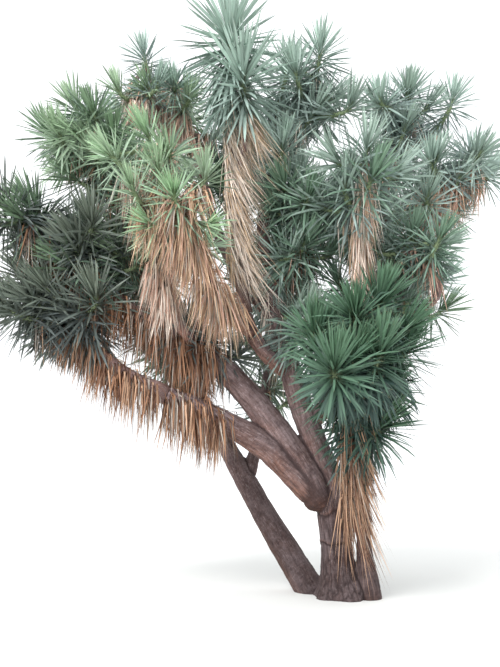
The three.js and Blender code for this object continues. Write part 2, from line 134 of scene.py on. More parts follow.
class Wire:
    """A socket of a finish, on which arithmetic adds Math nodes."""

    def __init__(self, finish, socket):
        self.finish = finish
        self.socket = socket

    def math(self, operation, *values):
        return self.finish.node("ShaderNodeMath", {"operation": operation}, dict(enumerate(values)))

    def __add__(self, other):
        return self.math("ADD", self, other)

    def __radd__(self, other):
        return self.math("ADD", other, self)

    def __sub__(self, other):
        return self.math("SUBTRACT", self, other)

    def __rsub__(self, other):
        return self.math("SUBTRACT", other, self)

    def __mul__(self, other):
        return self.math("MULTIPLY", self, other)

    def __rmul__(self, other):
        return self.math("MULTIPLY", other, self)

    def __abs__(self):
        return self.math("ABSOLUTE", self)

    def between(self, low, high):
        """0 at low, 1 at high and a smooth rise from one to the other."""
        inputs = {"Value": self, "From Min": low, "From Max": high}
        return self.finish.node("ShaderNodeMapRange", {"interpolation_type": "SMOOTHSTEP"}, inputs)


class Finish:
    """A material under construction around its Principled shader."""

    def __init__(self, name, shine):
        self.material = bpy.data.materials.new(name)
        self.material.use_nodes = True
        self.tree = self.material.node_tree
        self.shader = self.tree.nodes["Principled BSDF"]
        self.shader.inputs["Specular IOR Level"].default_value = shine

    def node(self, kind, settings, inputs, output=0):
        """Add one node: its settings first, then the values or links of its sockets."""
        made = self.tree.nodes.new(kind)
        for setting, value in settings.items():
            setattr(made, setting, value)
        for socket, value in inputs.items():
            self.feed(made.inputs[socket], value)
        return Wire(self, made.outputs[output])

    def feed(self, socket, value):
        if isinstance(value, Wire):
            self.tree.links.new(value.socket, socket)
        else:
            socket.default_value = value

    def attribute(self, name, output="Fac"):
        return self.node("ShaderNodeAttribute", {"attribute_name": name}, {}, output)

    def parts(self, vector):
        """The three numbers of a vector."""
        split = self.node("ShaderNodeSeparateXYZ", {}, {0: vector}).socket.node
        return [Wire(self, output) for output in split.outputs]

    def noise(self, place, lumps, detail, roughness):
        """A noise that has this many lumps a metre along each of the three axes."""
        stretched = self.node("ShaderNodeVectorMath", {"operation": "MULTIPLY"}, {0: place, 1: lumps})
        inputs = {"Vector": stretched, "Scale": 1.0, "Detail": detail, "Roughness": roughness}
        return self.node("ShaderNodeTexNoise", {}, inputs, "Fac")

    def mixed(self, low, high, share):
        """One colour turning into another."""
        settings = {"data_type": "RGBA", "clamp_factor": True}
        return self.node("ShaderNodeMix", settings, {0: share, 6: low, 7: high}, 2)

    def shaded(self, colour, brightness):
        """A colour made lighter or darker by a number."""
        return self.node("ShaderNodeVectorMath", {"operation": "SCALE"}, {0: colour, "Scale": brightness})

    def surface(self, colour, roughness, height, depth):
        """Join what changes over the surface to the shader, the height as a bump of this depth in metres."""
        bump = self.node("ShaderNodeBump", {}, {"Strength": 1.0, "Distance": depth, "Height": height})
        self.feed(self.shader.inputs["Base Color"], colour)
        self.feed(self.shader.inputs["Roughness"], roughness)
        self.feed(self.shader.inputs["Normal"], bump)


def painted(red, green, blue):
    """A colour as it is seen, from 0 to 255, as the shader takes it."""
    seen = [value / 255.0 for value in (red, green, blue)]
    return [value / 12.92 if value <= 0.04045 else ((value + 0.055) / 1.055) ** 2.4 for value in seen] + [1.0]


BARK_GREY = painted(126, 109, 109)
BARK_BROWN = painted(101, 81, 78)
BARK_FISSURE_AND_SHADE = painted(52, 39, 39)
BARK_WARM_AND_BOUNCE = painted(158, 108, 84)
BARK_PALE = painted(168, 154, 155)
LEAF_BASES = painted(122, 136, 104)  # round a stem of the crown, under its head
BARK_SHINE = 0.25
BARK_DEPTH = 0.006
BARK_NOISES = [  # lumps a metre across and along the grain, their detail and their roughness
    ((150.0, 150.0, 14.0), 4.0, 0.65),  # fibres
    ((44.0, 44.0, 7.0), 4.0, 0.7),  # strands
    ((34.0, 34.0, 26.0), 4.0, 0.75),  # flakes
    ((5.0, 5.0, 46.0), 3.0, 0.55),  # rings
    ((70.0, 70.0, 9.0), 3.0, 0.7),  # whiskers
]
BLOTCHES = ((2.6, 2.6, 2.6), 4.0, 0.6)
PAINTED_SHADE_AT_GROUND = 0.63  # painted shade: the brightness at the ground, in the crown's shadow, the painted light gained higher up, and between which heights
PAINTED_LIGHT_HIGHER_UP = 0.92
PAINTED_SHADE_HEIGHTS = (0.1, 2.6)


def make_bark():
    bark = Finish("corky_bark", BARK_SHINE)
    grain = bark.attribute("grain", "Vector")
    fibres, strands, flakes, rings, whiskers = (bark.noise(grain, *values) for values in BARK_NOISES)
    place = bark.node("ShaderNodeTexCoord", {}, {}, "Object")
    blotches = bark.noise(place, *BLOTCHES)
    colour = bark.mixed(BARK_BROWN, BARK_GREY, blotches.between(0.32, 0.62))
    colour = bark.mixed(colour, BARK_PALE, flakes.between(0.52, 0.74) * 0.6)
    colour = bark.mixed(colour, BARK_FISSURE_AND_SHADE, (1 - flakes.between(0.3, 0.46)) * 0.45)
    # painted bounce light: warm orange-brown on the undersides of the forks, and a warm tone on the lips over
    # the folds and on the stems
    colour = bark.mixed(colour, BARK_WARM_AND_BOUNCE, bark.attribute("warm_tone_and_bounce_light") * (0.6 + 1.2 * (strands - 0.5)))
    colour = bark.mixed(colour, BARK_PALE, whiskers.between(0.54, 0.68) * 0.55)
    # partly the dark bark of the fissures, partly painted shade darkening the recesses, folds and seams
    colour = bark.mixed(colour, BARK_FISSURE_AND_SHADE, bark.attribute("dark_marks_and_recess_shade") * 0.8)
    colour = bark.mixed(colour, LEAF_BASES, bark.attribute("leafy"))
    colour = bark.shaded(colour, 0.08 + 0.45 * fibres + 0.88 * strands + 0.22 * rings)
    # painted shade and light: the bark is darker near the ground, where the crown shades the foot, and
    # lighter on the high boughs
    height_above = bark.parts(place)[2]
    colour = bark.shaded(colour, PAINTED_SHADE_AT_GROUND + PAINTED_LIGHT_HIGHER_UP * height_above.between(*PAINTED_SHADE_HEIGHTS))
    height = 0.5 * fibres + 0.8 * strands + 0.5 * flakes + 0.3 * rings + 0.5 * whiskers
    bark.surface(colour, 0.82 + 0.14 * fibres, height, BARK_DEPTH)
    return bark.material


bark_finish = make_bark()

# The courses of the limbs, as in the solids. A limb sets out from a share of its parent's course, or from the
# ground, bows off the straight line and tapers from its foot to its tip. Its girth is given as a radius.
TRUNK_OUTLINE = [
    (0.0, 0.400), (0.05, 0.362), (0.11, 0.335), (0.22, 0.288), (0.35, 0.255), (0.52, 0.226), (0.64, 0.217),
    (0.68, 0.216), (0.72, 0.221), (0.76, 0.223), (0.86, 0.219), (1.0, 0.218), (1.08, 0.224), (1.14, 0.240),
    (1.17, 0.252), (1.21, 0.262), (1.29, 0.242), (1.33, 0.205),
]
TRUNK_LEAN = (-0.09, 0.0)
SIDE_STEM_OUTLINE = [
    (0.0, 0.200), (0.08, 0.199), (0.17, 0.190), (0.28, 0.168), (0.40, 0.140), (0.5, 0.120), (0.56, 0.110),
]
SIDE_STEM_FOOT = (0.33, -0.11)
SIDE_STEM_LEAN = (-0.03, -0.09)
LIMBS = {  # parent, share of its course, tip, bow, and girth at the foot and at the tip
    "back_stem": (None, 0.0, (-1.9, 1.6, 2.6), (0, 0, -0.06), (0.215, 0.135)),
    "long_bough": ("trunk", 0.9, (-2.35, -0.35, 3.56), (0, 0, 0.33), (0.235, 0.13)),
    "upright_bough": ("trunk", 0.9, (-1.0, -0.1, 4.75), (-0.14, 0, 0), (0.2, 0.112)),
    "low_bough": ("long_bough", 0.1, (-2.35, -0.43, 2.65), (0, 0, 0.07), (0.215, 0.13)),
    "tall_bough": ("upright_bough", 0.5, (-1.28, -0.28, 3.83), (-0.11, 0, -0.05), (0.125, 0.1)),
    "right_bough": ("upright_bough", 0.3, (1.15, -0.2, 4.7), (0.15, 0, -0.2), (0.135, 0.085)),
    "front_bough": ("tall_bough", 0.7, (-1.75, -1.15, 4.05), (0, 0, -0.08), (0.088, 0.066)),
    "front_left_bough": ("long_bough", 0.8, (-2.5, -0.85, 4.45), (-0.06, -0.12, -0.1), (0.098, 0.07)),
    "shoulder_bough": ("long_bough", 0.84, (-3.0, -0.3, 5.1), (-0.06, 0.08, -0.1), (0.1, 0.072)),
    "upper_left_bough": ("upright_bough", 0.72, (-1.95, 0.2, 6.1), (-0.15, 0.06, -0.15), (0.1, 0.072)),
    "centre_bough": ("upright_bough", 0.86, (-0.52, -0.3, 4.75), (0.04, -0.02, -0.03), (0.08, 0.062)),
    "right_front_bough": ("right_bough", 0.5, (0.33, -0.8, 4.15), (0, -0.06, -0.06), (0.088, 0.066)),
    "right_low_bough": ("right_bough", 0.72, (1.3, -0.65, 3.95), (0.06, 0, -0.06), (0.076, 0.06)),
    "right_upper_bough": ("right_bough", 0.66, (0.85, 0.3, 5.4), (0, 0.06, -0.06), (0.088, 0.066)),
    "back_left_bough": ("back_stem", 0.82, (-2.5, 1.4, 4.0), (-0.06, 0, -0.06), (0.105, 0.075)),
    "back_centre_bough": ("back_stem", 0.6, (-0.9, 1.65, 3.8), (0.06, 0.06, -0.1), (0.108, 0.075)),
    "back_top_bough": ("upright_bough", 0.8, (-1.3, 1.05, 5.5), (0, 0.06, -0.12), (0.095, 0.07)),
    "back_right_bough": ("right_bough", 0.4, (0.5, 1.0, 4.6), (0, 0.06, -0.1), (0.098, 0.07)),
    "back_low_bough": ("right_bough", 0.22, (0.55, 1.05, 3.35), (0, 0.06, -0.1), (0.098, 0.07)),
}
FOOT_SHIFTS = {  # from the parent's course, or from the origin
    "back_stem": (-0.33, 0.35, -0.06),
    "long_bough": (-0.2, -0.04, 0.11),
    "upright_bough": (0.085, 0.01, 0.06),
}
HEELS = {  # up to this share the limb comes straight from its parent's own foot, with this girth there
    "low_bough": (0.25, 0.225),
}
COURSE_STEP = 0.03  # from one station of a limb's course to the next
FEWEST_STATIONS = 12


def bezier(points, shares):
    """Points along a Bezier curve of any degree."""
    shares = np.asarray(shares, float).reshape(-1, 1)
    rows = [np.tile(np.asarray(point, float), (len(shares), 1)) for point in points]
    while len(rows) > 1:
        rows = [low + (high - low) * shares for low, high in zip(rows, rows[1:])]
    return rows[0]


def unit(vectors):
    return vectors / np.maximum(np.linalg.norm(vectors, axis=-1, keepdims=True), 1e-9)


class Course:
    """The middle line of a limb: stations, with the radius and the distance from its foot at each."""

    def __init__(self, points, radii):
        self.points = points
        self.radii = radii
        self.ways = unit(np.gradient(points, axis=0))
        steps = np.linalg.norm(np.diff(points, axis=0), axis=1)
        self.along = np.concatenate([[0.0], np.cumsum(steps)])
        self.length = self.along[-1]

    def at(self, distances):
        """The points at these distances from the foot, with the headings and the radii there."""
        points, ways = (
            np.stack([np.interp(distances, self.along, rows[:, axis]) for axis in range(3)], axis=1)
            for rows in (self.points, self.ways)
        )
        return points, unit(ways), np.interp(distances, self.along, self.radii)


def turned_course(outline, foot, lean):
    """The course of a round body with this outline of heights and radii."""
    top = outline[-1][0]
    heights = np.arange(0.0, top + COURSE_STEP / 2, COURSE_STEP / 2)
    shares = heights / top
    radii = np.interp(heights, [row[0] for row in outline], [row[1] for row in outline])
    return Course(np.stack([foot[0] + lean[0] * shares, foot[1] + lean[1] * shares, heights], axis=1), radii)


curves, courses, tip_girths = {}, {}, {}
for name, outline, (foot_x, foot_y), lean in [
    ("trunk", TRUNK_OUTLINE, (0.0, 0.0), TRUNK_LEAN),
    ("side_stem", SIDE_STEM_OUTLINE, SIDE_STEM_FOOT, SIDE_STEM_LEAN),
]:
    curves[name] = [(foot_x, foot_y, 0.0), (foot_x + lean[0], foot_y + lean[1], outline[-1][0])]
    courses[name] = turned_course(outline, (foot_x, foot_y), lean)
    tip_girths[name] = outline[-1][1]
for name, (parent, at, tip, bow, (thick, thin)) in LIMBS.items():
    foot = np.array(FOOT_SHIFTS.get(name, (0.0, 0.0, 0.0)))
    if parent:
        foot = bezier(curves[parent], [at])[0] + foot
    tip = np.array(tip)
    curves[name] = [foot, (foot + tip) / 2 + 2 * np.array(bow), tip]
    shares = np.linspace(0.0, 1.0, max(FEWEST_STATIONS, int(np.linalg.norm(tip - foot) / COURSE_STEP)))
    points, radii = bezier(curves[name], shares), thick + (thin - thick) * shares
    if name in HEELS:
        share, girth = HEELS[name]
        joint = int(share * len(shares))
        run = np.linspace(0.0, 1.0, 2 * joint, endpoint=False)
        start = np.array(curves[parent][0])
        points = np.concatenate([start + (points[joint] - start) * run[:, None], points[joint:]])
        radii = np.concatenate([girth + (radii[joint] - girth) * run, radii[joint:]])
    courses[name] = Course(points, radii)
    tip_girths[name] = thin

# The trunk and the limbs, one living body of wood: each limb is swept along its course from a rounded foot,
# they grow together where they meet, and the bark's ribs, rings, folds and swellings are raised on the whole.
STOUT_LIMBS = ["trunk", "side_stem", "long_bough", "upright_bough", "low_bough"]
STOUT_GRAIN = 0.0145  # the size of the faces that carry the relief
SLIM_GRAIN = 0.025
LIMB_SIDES = 28
AT_GROUND = 0.02  # a limb whose foot is lower than this stands in the ground; the others have a rounded foot
BELOW_GROUND = 0.08
DOME_STEPS = 5
DOME_DEPTH = 0.85  # of the limb's radius
DOME_POLE = 0.12


def sweep_limb(course):
    """A ring extruded from station to station, with both ends closed."""
    centres, radii, ways = course.points, course.radii, course.ways
    if centres[0][2] > AT_GROUND:
        angles = np.linspace(0.0, math.pi / 2, DOME_STEPS, endpoint=False)
        dome = centres[0] - ways[0] * radii[0] * np.cos(angles)[:, None] * DOME_DEPTH
        centres = np.concatenate([dome, centres])
        radii = np.concatenate([radii[0] * np.maximum(np.sin(angles), DOME_POLE), radii])
        ways = np.concatenate([np.tile(ways[0], (DOME_STEPS, 1)), ways])
    else:
        centres = np.concatenate([[centres[0] - (0.0, 0.0, BELOW_GROUND)], centres])
        radii = np.concatenate([radii[:1], radii])
        ways = np.concatenate([ways[:1], ways])
    shape = bmesh.new()
    turn = Vector((0.0, 0.0, 1.0)).rotation_difference(Vector(ways[0]))
    place = Matrix.Translation(centres[0]) @ turn.to_matrix().to_4x4() @ Matrix.Scale(radii[0], 4)
    bmesh.ops.create_circle(shape, cap_ends=True, segments=LIMB_SIDES, radius=1.0, matrix=place)
    end = shape.faces[:]
    for i in range(1, len(centres)):
        made = bmesh.ops.extrude_face_region(shape, geom=end)["geom"]
        end = [item for item in made if isinstance(item, bmesh.types.BMFace)]
        turn = Vector(ways[i - 1]).rotation_difference(Vector(ways[i])) @ turn
        after = Matrix.Translation(centres[i]) @ turn.to_matrix().to_4x4() @ Matrix.Scale(radii[i], 4)
        corners = [item for item in made if isinstance(item, bmesh.types.BMVert)]
        bmesh.ops.transform(shape, matrix=after @ place.inverted(), verts=corners)
        place = after
    bmesh.ops.recalc_face_normals(shape, faces=shape.faces[:])
    return shape


def read_points(mesh, what):
    """What every point of a mesh has: its place, which is co, or its normal."""
    values = np.empty(len(mesh.vertices) * 3)
    mesh.vertices.foreach_get(what, values)
    return values.reshape(-1, 3)


def set_points(mesh, points):
    mesh.vertices.foreach_set("co", points.ravel())
    mesh.update()


FLARE_LOBES = 5
FLARE_DEPTH = 0.1  # at the ground, as a share of the radius
FLARE_HEIGHT = 0.45
FLARE_REACH = 0.5  # from the trunk's middle


def flare_foot(mesh):
    """Raise the five swellings round the foot of the trunk."""
    points = read_points(mesh, "co")
    angle = np.arctan2(points[:, 1], points[:, 0])
    flare = np.clip(1.0 - points[:, 2] / FLARE_HEIGHT, 0.0, 1.0)
    near = np.linalg.norm(points[:, :2], axis=1) < FLARE_REACH
    points[:, :2] *= 1.0 + (FLARE_DEPTH * flare * np.cos(FLARE_LOBES * angle) * near)[:, None]
    set_points(mesh, points)


ONE_STEM = ["trunk", "upright_bough"]  # the bough carries the trunk on, without a seam
SEAM_WIDTH = 0.016
SEARCH_REACH = 0.12  # how far outside a limb's box its points may lie
AT_ONE_TIME = 4000
NEXT_GRAIN = 3.1  # how far apart the grains of two limbs lie, so that their noises differ
ACROSS = (0.1, 1.0, 0.05)  # no limb or stem runs this way, so it gives each a side


def sides_of(ways, hint=ACROSS):
    """Two directions that are square to each way and to each other."""
    across = unit(np.cross(ways, np.array(hint)))
    return across, np.cross(ways, across)


def lie_of(points, names):
    """For each point its limb's number, its place along that limb's grain, and how near a seam it is."""
    best = np.full(len(points), np.inf)
    second = np.full(len(points), np.inf)
    number = np.zeros(len(points), int)
    other = np.zeros(len(points), int)
    grain = np.zeros((len(points), 3))
    for order, name in enumerate(names):
        course = courses[name]
        reach = course.radii.max() + SEARCH_REACH
        low, high = course.points.min(axis=0) - reach, course.points.max(axis=0) + reach
        near = np.flatnonzero(((points > low) & (points < high)).all(axis=1))
        for part in np.array_split(near, max(1, len(near) // AT_ONE_TIME)):
            gaps = points[part][:, None, :] - course.points[None, :, :]
            apart = np.linalg.norm(gaps, axis=2) - course.radii[None, :]
            station = apart.argmin(axis=1)
            nearest = apart[np.arange(len(part)), station]
            better = nearest < best[part]
            nearer = ~better & (nearest < second[part])
            second[part[nearer]], other[part[nearer]] = nearest[nearer], order
            rows, where = part[better], station[better]
            second[rows], other[rows] = best[rows], number[rows]
            best[rows], number[rows] = nearest[better], order
            way = course.ways[where]
            gap = gaps[np.arange(len(part)), station][better]
            ahead = (gap * way).sum(axis=1)
            off = gap - way * ahead[:, None]
            across, beyond = sides_of(way)
            grain[rows, 0] = (off * across).sum(axis=1) + order * NEXT_GRAIN
            grain[rows, 1] = (off * beyond).sum(axis=1)
            grain[rows, 2] = course.along[where] + ahead
    one_stem = [names.index(name) for name in ONE_STEM if name in names]
    joined = np.isin(number, one_stem) & np.isin(other, one_stem)
    return number, grain, np.exp(-(((second - best) / SEAM_WIDTH) ** 2)) * ~joined


def noise_at(places):
    return np.array([noise.noise(Vector(place)) for place in places])


def valley(values, width):
    """1 along the lines where a noise is nil, falling to 0 at the width."""
    return np.clip(1.0 - np.abs(values) / width, 0.0, 1.0)


FIELDS = {"FLOAT": "value", "FLOAT_VECTOR": "vector", "FLOAT_COLOR": "color"}


def add_values(mesh, name, kind, values):
    """Keep a number, vector or colour at each point, for the finish to read."""
    rows = np.ascontiguousarray(values, dtype=np.float32).ravel()
    mesh.attributes.new(name, kind, "POINT").data.foreach_set(FIELDS[kind], rows)


LUMPS = [(2.3, 0.013), (6.5, 0.006)]  # how many a metre, and how high
RIBS = (19.0, 19.0, 2.6)  # how many a metre across the grain, across it and along it
FINE_RIBS = (38.0, 38.0, 6.0)
RINGS = (2.6, 2.6, 27.0)
RIB_WIDTH, FINE_RIB_WIDTH, RING_WIDTH = 0.3, 0.34, 0.3
RIB_DEPTH = {"trunk": 0.010, "side_stem": 0.004, "long_bough": 0.0045, "upright_bough": 0.0045,
             "low_bough": 0.0045}
SLIM_RIB_DEPTH = 0.0035
RING_DEPTH = 0.002
CREASE_RUN = 0.35  # how far up a limb's foot its rings are creases
CREASE_DEPTH = 0.003
FOLDS = [(0.685, 0.016, 0.017), (1.115, 0.016, 0.013)]  # height, half width and depth of the trunk's folds
FOLD_WAVER = (4.6, 4.6, 1.6)
WAVER_HEIGHT = 0.11
FOLD_SLANT = 0.05
LIP_ABOVE, LIP_WIDTH, LIP_HEIGHT = 0.03, 0.025, 0.010  # of the swelling over each fold
SEAM_DEPTH = 0.014
FORK_REACH = 1.1  # how far up from its foot a limb's underside gets painted bounce light, warm orange in colour
BULB_GRAIN = 0.4  # the bulb of the side stem has a coarser grain


def raise_bark(mesh, names):
    """Move the surface in and out as the bark does; keep its grain, dark fissures with painted recess shade
    and warm tone with painted bounce light.
    """
    points, normals = read_points(mesh, "co"), read_points(mesh, "normal")
    number, grain, seam = lie_of(points, names)
    along = grain[:, 2]
    on_trunk = np.array([name == "trunk" for name in names])[number]
    on_side_stem = np.array([name == "side_stem" for name in names])[number]
    depth = np.array([RIB_DEPTH.get(name, SLIM_RIB_DEPTH) for name in names])[number]
    lumps = sum(noise_at(points * scale) * height for scale, height in LUMPS)
    ribs = valley(noise_at(grain * RIBS), RIB_WIDTH)
    fine_ribs = valley(noise_at(grain * FINE_RIBS), FINE_RIB_WIDTH)
    rings = valley(noise_at(grain * RINGS), RING_WIDTH)
    creases = np.exp(-along / CREASE_RUN) * ~on_trunk
    waver = WAVER_HEIGHT * noise_at(points * FOLD_WAVER)
    sunk, lip = np.zeros(len(points)), np.zeros(len(points))
    strength = np.clip(0.65 + 2.0 * noise_at(points * 3.4 + 7.0), 0.05, 1.0) * on_trunk
    for height, half_width, fold_depth in FOLDS:
        over = points[:, 2] - (height + waver + FOLD_SLANT * points[:, 0])
        sunk += fold_depth * np.exp(-((over / half_width) ** 2)) * strength
        lip += np.exp(-(((over - LIP_ABOVE) / LIP_WIDTH) ** 2)) * strength
    sunk += SEAM_DEPTH * seam
    shift = lumps - depth * ribs - 0.45 * depth * fine_ribs - RING_DEPTH * rings * (~on_trunk)
    shift += LIP_HEIGHT * lip - CREASE_DEPTH * creases * rings - sunk
    # the darkening for the finish: dark bark in the rib fissures, and painted shade in the sunken folds,
    # seams and creases
    dark_marks_and_recess_shade = np.clip(0.8 * ribs * (depth / 0.010) ** 0.5 + 0.35 * fine_ribs + sunk / 0.013, 0.0, 1.0)
    dark_marks_and_recess_shade = np.clip(dark_marks_and_recess_shade + 0.25 * creases * rings + 0.1 * rings, 0.0, 1.0)
    # painted bounce light: the faces turned down near a limb's foot
    under = np.clip(-normals[:, 2] * 1.3 + 0.15, 0.0, 1.0)
    warm_tone_and_bounce_light = under * np.exp(-along / FORK_REACH) * ~on_trunk
    warm_tone_and_bounce_light = np.clip(warm_tone_and_bounce_light * 1.3 + 0.55 * lip, 0.0, 1.0)
    grain[on_side_stem] *= BULB_GRAIN
    set_points(mesh, points + normals * shift[:, None])
    add_values(mesh, "grain", "FLOAT_VECTOR", grain)
    add_values(mesh, "dark_marks_and_recess_shade", "FLOAT", dark_marks_and_recess_shade)
    add_values(mesh, "warm_tone_and_bounce_light", "FLOAT", warm_tone_and_bounce_light)


def finished(mesh, finish, nodes):
    """Make the mesh a piece of the tree, which has its name and stands for these solids."""
    piece = placed(mesh.name, mesh)
    mesh.materials.clear()
    mesh.materials.append(finish)
    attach(piece, "root")
    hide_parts(*nodes)


def grow_wood(name, names, grain_size):
    """Join the limbs to one skin, raise the bark on it and cut it off flat at the ground."""
    body = bmesh.new()
    for limb in names:
        scratch = mesh_of("scratch", sweep_limb(courses[limb]))
        if limb == "trunk":
            flare_foot(scratch)
        body.from_mesh(scratch)
        bpy.data.meshes.remove(scratch)
    rough_mesh = mesh_of("rough", body)
    rough = placed("rough", rough_mesh)
    skin = rough.modifiers.new("skin", "REMESH")
    skin.mode = "VOXEL"
    skin.voxel_size = grain_size
    easing = rough.modifiers.new("easing", "SMOOTH")
    easing.factor = 0.5
    easing.iterations = 4
    bpy.context.view_layer.update()
    mesh = bpy.data.meshes.new_from_object(rough.evaluated_get(bpy.context.evaluated_depsgraph_get()))
    mesh.name = name
    bpy.data.objects.remove(rough)
    bpy.data.meshes.remove(rough_mesh)
    raise_bark(mesh, names)
    shape = bmesh.new()
    shape.from_mesh(mesh)
    everything = shape.verts[:] + shape.edges[:] + shape.faces[:]
    bmesh.ops.bisect_plane(shape, geom=everything, plane_co=(0, 0, 0), plane_no=(0, 0, 1), clear_inner=True)
    rim = [edge for edge in shape.edges if edge.is_boundary]
    if rim:
        bmesh.ops.holes_fill(shape, edges=rim, sides=0)
    for face in shape.faces:
        face.smooth = True
    shape.to_mesh(mesh)
    shape.free()
    finished(mesh, bark_finish, names)


grow_wood("trunk_and_stout_limbs", STOUT_LIMBS, STOUT_GRAIN)
grow_wood("crown_boughs", [name for name in LIMBS if name not in STOUT_LIMBS], SLIM_GRAIN)

# The stems of the crown, by the rule that the solids follow. Each mass has a main stem that grows on from its
# limb's tip, twigs that leave it on given bearings, and here finer twigs from the stem and some of the twigs.
CROWN_CENTRE = (-1.0, 0.3)
USUAL_MASS = dict(
    lean=0.5,  # how far its heads lean outwards, or to the bearing that faces gives
    faces=None,
    forked=0,  # finer twigs from each twig
    fine=8,  # finer twigs from the main stem, from this share of it up
    fine_from=0.25,
    fine_below=0.3,  # how far a finer twig's head stays under the top of its mass
    far=1.0,  # how far out a finer twig's head stands, over the usual
    on_limb=(0, 0.0, 0.0, 0.0, 0.0),  # finer twigs from the limb, between which shares and bearings
    blade=0.58,  # the length of its living leaves
    leafed=(0.9, 0.8, 0.7),  # the length with living leaves of its main stem, twigs and finer twigs
    crowded=1.0,
    droop=0.6,
    ageing=1.0,  # how much darker the old leaves are
    skirt=0,  # hanks of dead leaves under the main stem's head and, unless twig_skirt says so, each twig's
    fine_skirt=14,  # dead leaves under the head of a finer twig
    skirt_run=0.25,  # how far down the stem a skirt's leaves are fast
    curtain=None,  # the share of its limb from which dead leaves hang off that too
    hang=0.7,  # the length of its dead leaves
    hug=1.0,  # how far out they set off, how far to the right, and how far they are blown that way
    drawn=0.0,
    blown=0.0,
    straws=["tan"],
)
